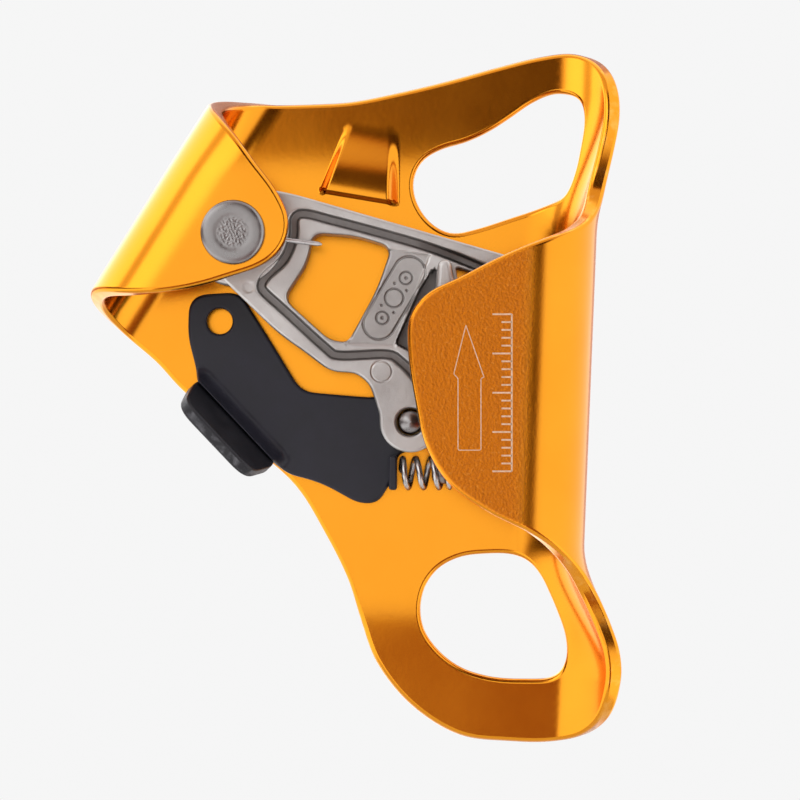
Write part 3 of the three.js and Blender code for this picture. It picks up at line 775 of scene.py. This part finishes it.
# Corners are [x, z, radius].
CAM_BODY = [
    [-46, 74.4, 3], [-35, 73, 4], [-25.6, 70.3, 3], [-2.4, 63.6, 4], [7, 60.9, 2.5],
    [9.4, 55.6, 3], [9.4, 47, 3], [6.4, 39.6, 3], [-1.4, 32, 2], [-1.4, 22.6, 1],
    [-6.4, 22.6, 1.2], [-6.6, 30.2, 1.5],
]
CAM_BODY_LEFT = [
    [-20.6, 40.6, 1.4], [-23.1, 42.5, 1.2], [-27.2, 42.5, 2], [-31.4, 45.8, 2.4], [-36, 49, 2.6],
    [-50, 62.6, 3],
]
CAM_WINDOW = [
    [-30.2, 66, 2], [-23, 65.5, 2.5], [-16.9, 63.6, 2], [-19.4, 56.4, 3], [-24.3, 47.5, 1.2],
    [-27.4, 47.9, 1.6], [-35.2, 54.9, 2], [-31.2, 61, 2],
]
CAM_NOTCH = [[-6.1, 60.2, 0.5], [-0.6, 58.7, 0.4], [-2.4, 56.9, 0.5], [-5.7, 57.5, 0.5]]
CAM_HEAD = [
    [-9.2, 61.2, 1.1], [-7.0, 61.4, 1.0], [-6.3, 57.2, 1.0], [-2, 56.4, 1.5], [6.4, 60.4, 1.6],
    [9.4, 55.6, 2.4], [9.4, 47, 3], [6.4, 39.6, 3], [-1.4, 32.6, 1.5], [-4.8, 33.8, 1.5],
    [-5.2, 46, 2], [-9.6, 55, 1.5],
]
HEAD_FACE = [[8.2, 58], [9.1, 54], [9.1, 47.5], [7.2, 41.8], [2.4, 36]]
REAR_RELIEF = [
    [-60, 59], [-40, 59], [-34, 53], [-27, 46.6], [-16, 46.6], [-5.6, 38], [-5.6, 10], [-60, 10],
]
HEAD_RELIEF = [[0, 80], [20, 80], [20, 10], [-8, 10], [-8, 46]]

# The groove that lightens the cam between its outer rim and the rim of its window.
GROOVE = [
    [0.5, 59.3], [-1.5, 60], [-6.7, 62.1], [-11.8, 63.9], [-18.7, 65.9], [-27, 68.1], [-31.6, 69.2],
    [-33.3, 68.4], [-33.5, 65.4], [-35, 61.6], [-38.1, 58.6], [-38.9, 56.9], [-38, 55.6], [-35.1, 53],
    [-28.1, 46.6], [-25.7, 45.3], [-17.9, 45.5], [-15.4, 44.3], [-12.6, 41.4], [-11, 38.6],
]
PANEL_TOP = np.array([-13.9, 59.3])
PANEL_LOW = np.array([-19.0, 50.7])
PANEL_RADIUS = 2.7
STEP = [[-10.5, 62.2], [-17.5, 63.2], [-24.4, 47.3], [-16.4, 46.9]]
SLOT = [[-9.7, 60.2], [-12.1, 56.6], [-16.3, 47.3], [-13.6, 45.9], [-9.6, 46.4], [-8.2, 58.6]]

ROUND_MARK = np.array([-18.6, 42.6])
DIMPLE = np.array([-41, 56.8])

GROOVE_HALF_WIDTH = 1.02
GROOVE_WALL = 0.62
GROOVE_ROWS = (0.15, 0.4, 0.55, 0.7, 0.85, 1.0, 1.2)
GROOVE_DEPTH = 0.85
SLOT_DEPTH = 3.4
STEP_DEPTH = 0.35
PANEL_MARK_DEPTH = 0.26
ROUND_MARK_DEPTH = 0.14
DIMPLE_DEPTH = 0.1

# Where the cast marks need a finer mesh: the panel and the round mark.
FINE_PATCHES = [([-22.3, 47.6], [-10.8, 62.6]), ([-20.9, 40.4], [-16.4, 44.9])]


def amount_inside(x, z, polygon, soft):
    """1 well inside a polygon and 0 well outside it, with a smooth edge."""
    points = np.column_stack([x, z])
    polygon = np.asarray(polygon, float)
    away = line_distance(points, polygon, closed=True)
    return smoothstep(np.where(within(points, [polygon]), away, -away), -soft / 2, soft / 2)


GROOVE_LINE = open_spline(GROOVE, 0.7)
SLOT_LINE = rounded_corners([corner + [0.8] for corner in SLOT], 0.5)


def cut(distance, half_width, wall):
    """A groove's depth from 0 to 1, by distance from its middle."""
    return 1 - smoothstep(distance, half_width - wall, half_width)


def away_from(x, z, centre):
    return np.hypot(x - centre[0], z - centre[1])


def panel_marks(x, z):
    """The lines cast into the cam's panel, from 0 to 1: its outline, circles and dots."""
    middle = (PANEL_TOP + PANEL_LOW) / 2
    along = (PANEL_TOP - PANEL_LOW) / np.linalg.norm(PANEL_TOP - PANEL_LOW)
    aside = np.array([-along[1], along[0]])
    spine = line_distance(np.column_stack([x, z]), np.array([PANEL_TOP, PANEL_LOW]))
    marks = [
        cut(np.abs(spine - PANEL_RADIUS), 0.26, 0.2),
        cut(np.abs(away_from(x, z, middle) - 1.55), 0.2, 0.14),
    ]
    for end in (-1, 1):
        away = away_from(x, z, middle + end * 3.9 * along)
        marks += [cut(np.abs(away - 1.05), 0.2, 0.14), cut(away, 0.36, 0.2)]
        for side in (-1, 1):
            dot = middle + end * 2.15 * along + side * 1.2 * aside
            marks.append(cut(away_from(x, z, dot), 0.3, 0.2))
    return np.max(marks, axis=0)


def cam_relief(x, z):
    """How far the cam's front face is sunk below its rims."""
    from_groove = line_distance(np.column_stack([x, z]), GROOVE_LINE)
    groove = cut(from_groove, GROOVE_HALF_WIDTH, GROOVE_WALL)
    deeper_above_head = 1 + 0.9 * smoothstep(x, -13, -5) * (z > 55)
    round_mark = cut(np.abs(away_from(x, z, ROUND_MARK) - 1.75), 0.22, 0.18)
    dimple = cut(away_from(x, z, DIMPLE), 1.2, 0.5)
    depth_and_painted_shade = GROOVE_DEPTH * groove * deeper_above_head + PANEL_MARK_DEPTH * panel_marks(x, z)
    depth_and_painted_shade = depth_and_painted_shade + ROUND_MARK_DEPTH * round_mark + DIMPLE_DEPTH * dimple
    depth_and_painted_shade = depth_and_painted_shade + STEP_DEPTH * amount_inside(x, z, STEP, 0.5)
    return np.maximum(depth_and_painted_shade, SLOT_DEPTH * amount_inside(x, z, SLOT_LINE, 0.35))


def groove_rows():
    """Rows of points along the groove's walls, so that they stay smooth."""
    line = even(GROOVE_LINE, 0.35, closed=False)
    normal = left_normals(line)
    rows = []
    for side in (-1, 1):
        for offset in GROOVE_ROWS:
            row = (line + normal * (side * offset))[1:-1]
            clear = np.abs(line_distance(row, GROOVE_LINE) - offset) < 0.03
            rows.append(row[clear])
    return np.vstack(rows)


def cam_rear(x, z):
    y = np.full(len(x), ARM_REAR)
    y = y + (LOWER_ARM_REAR - ARM_REAR) * amount_inside(x, z, REAR_RELIEF, 0.6)
    return np.minimum(y, ARM_REAR + (HEAD_REAR - ARM_REAR) * amount_inside(x, z, HEAD_RELIEF, 0.6))


def cam_arms():
    down = np.radians(np.arange(-48, -196, -12))
    lug = [
        [CATCH_AXIS[0] + LUG_RADIUS * math.cos(a), CATCH_AXIS[1] + LUG_RADIUS * math.sin(a), LUG_CORNER]
        for a in down
    ]
    outer = rounded_corners(CAM_BODY + lug + CAM_BODY_LEFT, 0.45)
    loops = [
        blurred(outer, 1.3), rounded_corners(CAM_WINDOW, 0.45), rounded_corners(CAM_NOTCH, 0.3),
        circle(CATCH_AXIS, 2.35, 40), circle(CAM_AXIS, CAM_BORE, 48),
    ]
    loops = [turned(loop, anticlockwise=(k == 0)) for k, loop in enumerate(loops)]
    rounds = [0.55, 0.5, 0.35, 0.45, 0.3]
    interior = grid_points(loops, 0.34, 0.75)
    interior = interior[line_distance(interior, GROOVE_LINE) > 1.35]
    rows = groove_rows()
    rows = rows[within(rows, loops)]
    for loop in loops:
        rows = rows[line_distance(rows, loop, closed=True) > 0.6]
    interior = np.vstack([interior, rows])
    for low, high in FINE_PATCHES:
        interior = refined(interior, loops, 0.15, 0.6, low, high)
    blank = Blank(loops, rounds, interior, steps=4)
    # The relief depth, kept as a mask for the painted shade in the grooves and cast marks.
    depth_and_painted_shade = np.clip(cam_relief(*blank.points.T) / 0.9, 0, 1)
    return blank.plate("cam_arms", lambda x, z: ARM_FRONT + cam_relief(x, z), cam_rear, {"depth_and_painted_shade": depth_and_painted_shade})


def cam_head():
    loop = turned(blurred(rounded_corners(CAM_HEAD, 0.4), 1.0), anticlockwise=True)
    blank = Blank([loop], [0.9], grid_points([loop], 0.9, 1.2))
    return blank.plate("cam_head", HEAD_FRONT, HEAD_REAR, {})


def cam_teeth():
    """Rows of small leaning cones across the head's face."""
    rows, per_row, sides = 9, 3, 12
    height, lean, buried, spacing, taper = 1.1, 0.7, 0.8, 3.1, 0.86
    face = open_spline(HEAD_FACE, 0.1)
    tangents = np.gradient(face, axis=0)
    tangents /= np.linalg.norm(tangents, axis=1)[:, None]
    points, faces = [], []
    for row in range(rows):
        at = round(row / (rows - 1) * (len(face) - 1))
        root, tangent = face[at], tangents[at]
        outward = np.array([-tangent[1], tangent[0]])
        tip = root + outward * height - tangent * lean
        base = root - outward * buried
        for column in range(per_row):
            y = HEAD_REAR - 2.0 - (column + (0.5 if row % 2 else 0)) * spacing
            first = len(points)
            for share in (0.0, 0.8, 1.0):
                reach = 1 - share * taper
                centre = base + (tip - base) * share
                for k in range(sides):
                    angle = 2 * math.pi * k / sides
                    spot = centre + tangent * math.cos(angle) * reach
                    points.append([spot[0], y + math.sin(angle) * reach, spot[1]])
            for ring in range(2):
                for k in range(sides):
                    a, b = first + ring * sides + k, first + ring * sides + (k + 1) % sides
                    faces.append([a, b, b + sides, a + sides])
            faces.append([first + 2 * sides + k for k in range(sides)])
            faces.append([first + k for k in range(sides)][::-1])
    teeth = add_object("cam_teeth", points, faces)
    weld(teeth)
    sharpen(teeth, 40)
    return teeth


def cam_hub():
    rear, nose = HUB_REAR, HUB_NOSE
    return lathe("cam_hub", [
        [CAM_BORE, rear], [6.4, rear], [6.9, rear - 0.15], [8.4, rear - 1.7], [8.6, rear - 2.2],
        [8.6, ARM_FRONT + 0.8], [8.4, ARM_FRONT + 0.4], [8.1, ARM_FRONT + 0.3], [5.4, ARM_FRONT + 0.3],
        [5.4, nose + 0.4], [5.3, nose + 0.1], [5.0, nose], [CAM_BORE, nose], [CAM_BORE, rear],
    ], CAM_AXIS)


for piece in (cam_arms(), cam_head(), cam_teeth(), cam_hub()):
    fit(piece, cam_cast_steel, "cam", "cam_cast_steel", "cam")

# ---------------------------------------------------------------- rivet, pins, bushes and springs

RIVET_RADIUS = 3.0
HEAD_RADIUS = 5.35
RIVET_CLEARANCE = 3.05
THRUST_RADIUS = 5.3
THRUST_THICKNESS = 0.5
PIN_RADIUS = 1.9
PIN_CLEARANCE = 1.95
COIL_RADIUS = 2.45
WIRE = 0.4
THICK_WIRE = 0.5
SPRING_Y = -8.3
SPRING_Z = 25.4
SPRING_SEAT_X = -15.3
SPRING_LENGTH = 8.2
SPRING_TURNS = 3.75
POST_X = -6.7


def arc_profile(start, end, bulge, count):
    """Points between two profile points that bow outward by a share of the way."""
    start, end = np.asarray(start, float), np.asarray(end, float)
    t = np.linspace(0, 1, count)[:, None]
    middle = np.array([max(start[0], end[0]), min(start[1], end[1])])
    corner = (start + end) / 2 * (1 - bulge) + middle * bulge
    return quadratic(t, start, corner, end).tolist()


def hammered(radius, turn, y):
    """The rivet's end is flattened by a punch, which leaves shallow dents."""
    u, v = radius * np.cos(turn), radius * np.sin(turn)
    dents = np.sin(6.1 * u + 1.2 * np.sin(4.3 * v)) * np.sin(5.7 * v + 1.5 * np.sin(3.9 * u))
    dents = dents + 0.6 * np.sin(9.3 * u - 4.1 * v) * np.sin(8.1 * v + 2.4 * u)
    on_face = (y < EAR_FRONT - 1.2) * (1 - smoothstep(radius, 2.0, 3.0))
    return 0.05 * dents * on_face


def main_rivet():
    face = EAR_FRONT - 1.7
    profile = [[0, 3.4], [1.6, 3.4], [2.5, 3.25], [RIVET_RADIUS, 2.8], [RIVET_RADIUS, EAR_FRONT]]
    profile += [[HEAD_RADIUS - 0.25, EAR_FRONT], [HEAD_RADIUS, EAR_FRONT - 0.25]]
    profile += arc_profile([HEAD_RADIUS, EAR_FRONT - 1.0], [4.75, face + 0.1], 0.6, 7)
    profile += [[4.3, face + 0.05], [3.6, face + 0.02], [3.0, face + 0.05]]
    profile += [[radius, face + 0.1] for radius in np.linspace(2.75, 0.15, 19)] + [[0, face + 0.1]]
    return lathe("main_rivet_turned", profile, CAM_AXIS, ripple=hammered)


def ring(name, inner, outer, rear, front, soft, axis):
    """A washer or bush with softened corners."""
    return lathe(name, [
        [inner, rear - soft], [inner + soft, rear], [outer - soft, rear], [outer, rear - soft],
        [outer, front + soft], [outer - soft, front], [inner + soft, front], [inner, front + soft],
        [inner, rear - soft],
    ], axis)


def cam_spring_path():
    """A coil round the hub with a long leg at its start and a short one at its end."""
    turns, radius, leg = 2.1, 6.1, 0.12
    points = []
    for t in np.linspace(0, 1, 190):
        coil = min(1, max(0, (t - leg) / (1 - 2 * leg)))
        angle = -0.1 - coil * turns * 2 * math.pi
        x = CAM_AXIS[0] + radius * math.cos(angle)
        z = CAM_AXIS[1] + radius * math.sin(angle)
        if t < leg:
            out = (leg - t) / leg
            x += 8.6 * out
            z -= 1.1 * out
        elif t > 1 - leg:
            out = (t - 1 + leg) / leg
            x -= 3 * math.sin(angle) * out
            z += 3 * math.cos(angle) * out
        points.append([x, -12.75 - coil * 2.5, z])
    return points


def catch_spring_path():
    """A compression spring from the catch's seat to the post, with closed ends."""
    t = np.linspace(0, 1, 220)
    pitch = np.interp(t, [0, 0.14, 0.86, 1], [0, 0.07, 0.93, 1])
    angle = t * SPRING_TURNS * 2 * math.pi
    return np.column_stack([
        SPRING_SEAT_X + pitch * SPRING_LENGTH,
        SPRING_Y + COIL_RADIUS * np.cos(angle),
        SPRING_Z + COIL_RADIUS * np.sin(angle),
    ])


def rivet_washer():
    washer = lathe("rivet_washer_turned", [
        [3.1, 1.5], [5.05, 1.5], [5.15, 1.6], [5.15, 1.95], [4.9, 2.3], [4.35, 2.95], [4.15, 3.08],
        [3.95, 3.1], [3.2, 3.1], [3.1, 3.0], [3.1, 1.5],
    ], CAM_AXIS)
    sharpen(washer, 40)
    return washer


def catch_pin():
    profile = [[0, -3.0], [PIN_RADIUS - 0.3, -3.0], [PIN_RADIUS, -3.3], [PIN_RADIUS, -11.7]]
    profile += arc_profile([PIN_RADIUS, -11.8], [0, -12.85], 0.6, 9)
    return lathe("catch_pin_turned", profile, CATCH_AXIS)


def spring_post():
    """A peg that is turned about Y and then laid along X, into the spring's end."""
    profile = [[0, 0], [1.8, 0], [1.8, -2.4], [1.65, -2.9], [1.2, -3.3], [0.6, -3.4], [0, -3.4]]
    post = lathe("spring_post_turned", profile, [0, 0])
    place = Matrix.Translation(Vector((POST_X, SPRING_Y, SPRING_Z)) * MM)
    post.data.transform(place @ Matrix.Rotation(-math.pi / 2, 4, "Z"))
    return post


fit(main_rivet(), rivet_steel, "body", "rivet_steel", "main_rivet")
fit(rivet_washer(), rivet_steel, "body", "rivet_steel", "rivet_washer")
for node, y in (("rear_thrust_washer", -1.6), ("front_thrust_washer", -15.8)):
    piece = ring(node + "_turned", RIVET_CLEARANCE, THRUST_RADIUS, y, y - THRUST_THICKNESS, 0.08, CAM_AXIS)
    fit(piece, bearing_bronze, "body", "bearing_bronze", node)
cam_bush = ring("cam_bush_turned", RIVET_CLEARANCE, 4.0, HUB_REAR, HUB_NOSE, 0.15, CAM_AXIS)
fit(cam_bush, bearing_bronze, "cam", "bearing_bronze", "cam_bush")
catch_bush = ring("catch_bush_turned", PIN_CLEARANCE, 2.85, -4.4, -7.1, 0.12, CATCH_AXIS)
fit(catch_bush, bearing_bronze, "catch", "bearing_bronze", "catch_bush")
pin_clip = ring("pin_clip_turned", PIN_CLEARANCE, 3.6, -3.5, -4.2, 0.1, CATCH_AXIS)
fit(pin_clip, spring_wire, "cam", "spring_steel", "pin_clip")
fit(catch_pin(), rivet_steel, "cam", "rivet_steel", "catch_pin")
fit(spring_post(), rivet_steel, "cam", "rivet_steel", "spring_post")
fit(tube("cam_spring_wire", cam_spring_path(), WIRE), spring_wire, "cam", "spring_steel", "cam_spring")
spring = tube("catch_spring_wire", catch_spring_path(), THICK_WIRE)
fit(spring, spring_wire, "cam", "spring_steel", "catch_spring")
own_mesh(spring)

# ---------------------------------------------------------------- the safety catch

CATCH_REAR = -4.4
CATCH_FRONT = -6.6
SEAT_FRONT = -11.4
CATCH_OUTLINE = [
    [-51.4, 55.6, 3], [-42.8, 56.2, 2], [-37, 47, 4], [-32.3, 39.2, 2.2], [-20.4, 38.2, 1.5],
    [-15, 38.8, 2], [-9.4, 36, 2], [-9.6, 31.6, 2], [-12.6, 29.4, 1.5], [-16, 28.6, 1],
    [-16, 25.6, 1], [-19.2, 20.2, 1.5], [-22.6, 20.2, 1.5], [-29, 23.8, 3], [-34.6, 25.2, 1.2],
    [-37.0, 27.2, 0.5], [-49.9, 40.9, 0.5], [-50.2, 43.2, 0.9], [-51.6, 48.6, 2],
]
CORD_HOLE = np.array([-46.2, 51.2])
TAB_START = np.array([-49.6, 40.9])
TAB_END = np.array([-37.2, 27.8])
TAB_THICKNESS = 2.6
TAB_HEIGHT = 15
TAB_LEAN = math.radians(17)
TAB_RISE = 3.4
TAB_RISE_WIDTH = 2.6
TAB_SKIN = 0.24
RIB_START = 5.2
RIB_PITCH = 1.4
RIB_HEIGHT = 0.22
THUMB_PAD = [[-5.6, 5.2], [4.9, 5.2], [4.6, 12.2], [-5.2, 12.2]]


def catch_rise(x, z):
    """The plate turns up into the tab's root."""
    away = line_distance(np.column_stack([x, z]), np.array([TAB_START, TAB_END]))
    return TAB_RISE * (1 - np.clip((away - 0.1) / TAB_RISE_WIDTH, 0, 1)) ** 2


def catch_plate():
    loops = [
        turned(blurred(rounded_corners(CATCH_OUTLINE, 0.5), 1.2), anticlockwise=True),
        circle(CORD_HOLE, 2.2, 48)[::-1], circle(CATCH_AXIS, 2.95, 48)[::-1],
    ]
    grid = grid_points(loops, 0.5, 0.8)
    grid = grid[line_distance(grid, np.array([TAB_START, TAB_END])) > 3.2]
    rows = edge_rows(TAB_START, TAB_END, -1.2, 0.4, np.arange(0.0, 3.1, 0.25))
    rows = rows[within(rows, loops) & (line_distance(rows, loops[0], closed=True) > 0.7)]
    blank = Blank(loops, [0.55, 0.45, 0.2], np.vstack([grid, rows]))

    def front(x, z):
        return CATCH_FRONT - catch_rise(x, z)

    return blank.plate("catch_plate_formed", front, CATCH_REAR, blank.worn_edge(3))


def spring_seat():
    """A lug at the spring's outer end, standing forward from the catch's plate."""
    corners = [[-17.4, 28.4, 0.5], [-16, 28.4, 0.5], [-16, 22.6, 0.5], [-17.4, 22.6, 0.5]]
    loop = turned(rounded_corners(corners, 0.2), anticlockwise=True)
    blank = Blank([loop], [0.4], grid_points([loop], 0.5, 0.45), steps=4)
    return blank.plate("spring_seat", SEAT_FRONT, CATCH_REAR - 0.3, blank.worn_edge(3))


def thumb_tab():
    """A plate that stands on the catch's lower left edge and leans outward."""
    half = np.linalg.norm(TAB_END - TAB_START) / 2
    profile = [
        [-half, 0, 0.8], [half, 0, 0.8], [half + 1, 5, 2], [half - 0.6, TAB_HEIGHT, 3.4],
        [-half + 1.2, TAB_HEIGHT, 3.4], [-half - 0.4, 5, 2],
    ]
    loop = turned(blurred(rounded_corners(profile, 0.35), 1.4), anticlockwise=True)
    blank = Blank([loop], [0.5], grid_points([loop], 0.4, 0.7))
    along = np.append(TAB_END - TAB_START, 0)[[0, 2, 1]] / (2 * half)
    outward = np.array([along[2], 0, -along[0]])
    height = np.array([0, -math.cos(TAB_LEAN), 0]) + outward * math.sin(TAB_LEAN)
    across = np.cross(along, height)
    middle = (TAB_START + TAB_END) / 2
    root = np.array([middle[0], CATCH_REAR, middle[1]])

    def ribs(u, v):
        wave = 0.5 + 0.5 * np.cos(2 * math.pi * (v - RIB_START) / RIB_PITCH)
        return RIB_HEIGHT * amount_inside(u, v, THUMB_PAD, 0.7) * wave

    def at(u, v, thick):
        return root + np.outer(u, along) + np.outer(v, height) + np.outer(thick, across)

    def outer(u, v, drop):
        return at(u, v, TAB_THICKNESS / 2 - drop - TAB_SKIN + ribs(u, v))

    def inner(u, v, drop):
        return at(u, v, -(TAB_THICKNESS / 2 - drop - TAB_SKIN))

    return blank.solid("thumb_tab_moulded", outer, inner, blank.worn_edge(2))


fit(catch_plate(), catch_black, "catch", "catch_black", "catch_plate")
fit(spring_seat(), catch_black, "catch", "catch_black", "catch_plate")
fit(thumb_tab(), tab_black, "catch", "tab_black", "thumb_tab")

# ---------------------------------------------------------------- marks on the channel's flap


MARK_PROUD = 0.03
MARK_STEP = 0.35
ARROW_WIDTH = 0.16
SCALE_WIDTH = 0.28
SCALE_X = 3.0
SCALE_BOTTOM = 26.0
SCALE_TOP = 52.0
SCALE_PITCH = 1.3
ARROW = [
    [-4.6, 50.2], [-1.6, 41.6], [-2.1, 41.4], [-2.1, 29.5], [-5.9, 29.5], [-5.9, 41.4], [-6.6, 42.1],
]


def on_flap(x, z):
    """The place on the flap's outer face over a point of the back plate."""
    start = channel_start(z)
    return bend(2 * start + math.pi * CHANNEL_RADIUS - x, z, -HALF_SHEET - MARK_PROUD)


def ribbons(name, lines, width):
    """Thin strips that follow polylines on the flap."""
    points, faces = [], []
    for line, closed in lines:
        line = even(line, MARK_STEP, closed)
        normal = left_normals(line)
        if not closed:
            ends = np.diff(line, axis=0)[[0, -1]]
            ends /= np.linalg.norm(ends, axis=1)[:, None]
            normal[[0, -1]] = np.column_stack([-ends[:, 1], ends[:, 0]])
        first, count = len(points), len(line)
        for side in (-0.5, 0.5):
            edge = line + normal * width * side
            points += on_flap(edge[:, 0], edge[:, 1]).tolist()
        for k in range(count if closed else count - 1):
            a, b = first + k, first + (k + 1) % count
            faces.append([a, b, b + count, a + count])
    return add_object(name, points, faces)


def scale_marks():
    """A plain ruler: a base line with ticks, every fifth one longer."""
    lines = [([[SCALE_X, SCALE_BOTTOM], [SCALE_X, SCALE_TOP]], False)]
    for k, z in enumerate(np.arange(SCALE_BOTTOM, SCALE_TOP + 0.1, SCALE_PITCH)):
        reach = 3.2 if k % 5 == 0 else 1.7
        lines.append(([[SCALE_X - reach, z], [SCALE_X, z]], False))
    return lines


fit(ribbons("arrow_mark", [(ARROW, True)], ARROW_WIDTH), mark_pale, "body", "body_anodised")
fit(ribbons("scale_mark", scale_marks(), SCALE_WIDTH), mark_pale, "body", "body_anodised")

# ---------------------------------------------------------------- camera, floor and light


FLOOR_Z = -300
FLOOR_RADIUS = 360
FLOOR_SEGMENTS = 96
STUDIO_LEVEL = 1.42
BACKDROP_LEVEL = 0.92


def add_camera():
    camera = bpy.data.objects.new("camera", bpy.data.cameras.new("camera"))
    bpy.context.scene.collection.objects.link(camera)
    camera.location = (-0.0155, -0.6, 0.0378)
    camera.rotation_euler = (math.pi / 2, 0, 0)
    camera.data.sensor_width = 36
    camera.data.lens = 157
    camera.data.clip_start = 0.01
    bpy.context.scene.camera = camera


def add_floor():
    """A pale disc far below the object."""
    rim = circle((0, 0), FLOOR_RADIUS, FLOOR_SEGMENTS).tolist()
    faces = [[0, k + 1, (k + 1) % FLOOR_SEGMENTS + 1] for k in range(FLOOR_SEGMENTS)]
    floor = add_object("floor", [(x, y, FLOOR_Z) for x, y in [(0, 0)] + rim], faces)
    s = Shader("floor_pale")
    grain = s.noise(300, 3)
    colour = s.mix(grain, (0.46, 0.46, 0.46, 1), (0.50, 0.50, 0.50, 1))
    floor.data.materials.append(s.set(Base_Color=colour, Roughness=s.ramp(grain, 0, 1, 0.75, 0.9)))


def add_softbox(name, place, aim, width, height, power):
    light = bpy.data.objects.new(name, bpy.data.lights.new(name, "AREA"))
    bpy.context.scene.collection.objects.link(light)
    light.data.shape = "RECTANGLE"
    light.data.size = width
    light.data.size_y = height
    light.data.energy = power
    light.location = place
    light.visible_glossy = False
    light.rotation_euler = (Vector(aim) - Vector(place)).to_track_quat("-Z", "Y").to_euler()


def add_world():
    """A studio drawn by direction: light ahead, behind and at both sides, with dark gaps between.

    x, y and z are the parts of the direction, and each fade runs over a stretch of one of them.
    """
    world = bpy.data.worlds.new("studio")
    world.use_nodes = True
    bpy.context.scene.world = world
    world.node_tree.nodes.clear()
    n = Nodes(world.node_tree)
    direction = n.add("ShaderNodeTexCoord").outputs["Generated"]
    x, y, z = n.add("ShaderNodeSeparateXYZ", _0=direction).outputs

    from_axis = n.maths("SQRT", n.maths("ADD", n.times(x, x), n.times(z, z)))
    ahead = n.fade(from_axis, 0.17, 0.25, 1.0, 0.0)
    right = n.times(n.fade(x, 0.42, 0.56), n.fade(n.maths("ABSOLUTE", z), 0.60, 0.85, 1.0, 0.25))
    off_diagonal = n.maths("ABSOLUTE", n.maths("ADD", n.times(x, 0.53), n.times(z, 0.85)))
    far = n.times(n.fade(x, -0.14, -0.24), n.fade(off_diagonal, 0.26, 0.38, 1.0, 0.0))
    near = n.times(n.fade(x, -0.08, -0.14), n.fade(off_diagonal, 0.10, 0.22, 1.0, 0.0))
    gap = n.times(n.fade(y, -0.52, -0.44), n.fade(y, -0.24, -0.16, 1.0, 0.0))
    left = n.times(n.most(far, near), n.maths("SUBTRACT", 1.0, gap))
    behind = n.fade(y, -0.10, 0.20, 0.0, 0.55)
    low_left = n.times(n.fade(x, -0.03, -0.12), n.fade(z, -0.12, -0.25))
    lit = n.most(n.most(n.most(ahead, n.most(left, right)), behind), low_left)

    above = n.times(n.fade(x, -0.10, 0.0, 1.05, 0.02), n.fade(z, 0.14, 0.28))
    overhead = n.fade(z, 0.64, 0.76, 0.0, 1.0)
    below = n.fade(z, -0.10, -0.25, 0.0, 0.34)
    shade = n.most(n.most(above, overhead), n.most(below, 0.04))
    level = n.maths("ADD", n.times(lit, STUDIO_LEVEL), shade)

    # The camera sees a plain white backdrop, and the object a studio whose dim parts are warm.
    seen = n.add("ShaderNodeLightPath").outputs["Is Camera Ray"]
    white = n.most(n.fade(level, 0.15, 1.35), seen)
    tint = n.mix(white, (1.0, 0.30, 0.22, 1), (1, 1, 1, 1))
    unseen = n.times(n.maths("SUBTRACT", 1.0, seen), level)
    level = n.maths("ADD", unseen, n.times(seen, BACKDROP_LEVEL))
    background = n.add("ShaderNodeBackground", _0=tint, _1=level)
    n.add("ShaderNodeOutputWorld", _0=background.outputs[0])


bpy.context.scene.view_settings.view_transform = "Standard"
add_camera()
add_floor()
add_world()
add_softbox("key", (-0.45, -0.7, 0.55), (-0.01, 0, 0.04), 0.35, 0.35, 4.0)
add_softbox("fill", (0.6, -0.5, 0.1), (0, 0, 0.04), 0.3, 0.5, 2.0)
add_softbox("rear", (0.1, 0.6, 0.6), (0, 0, 0.04), 0.5, 0.3, 3.0)
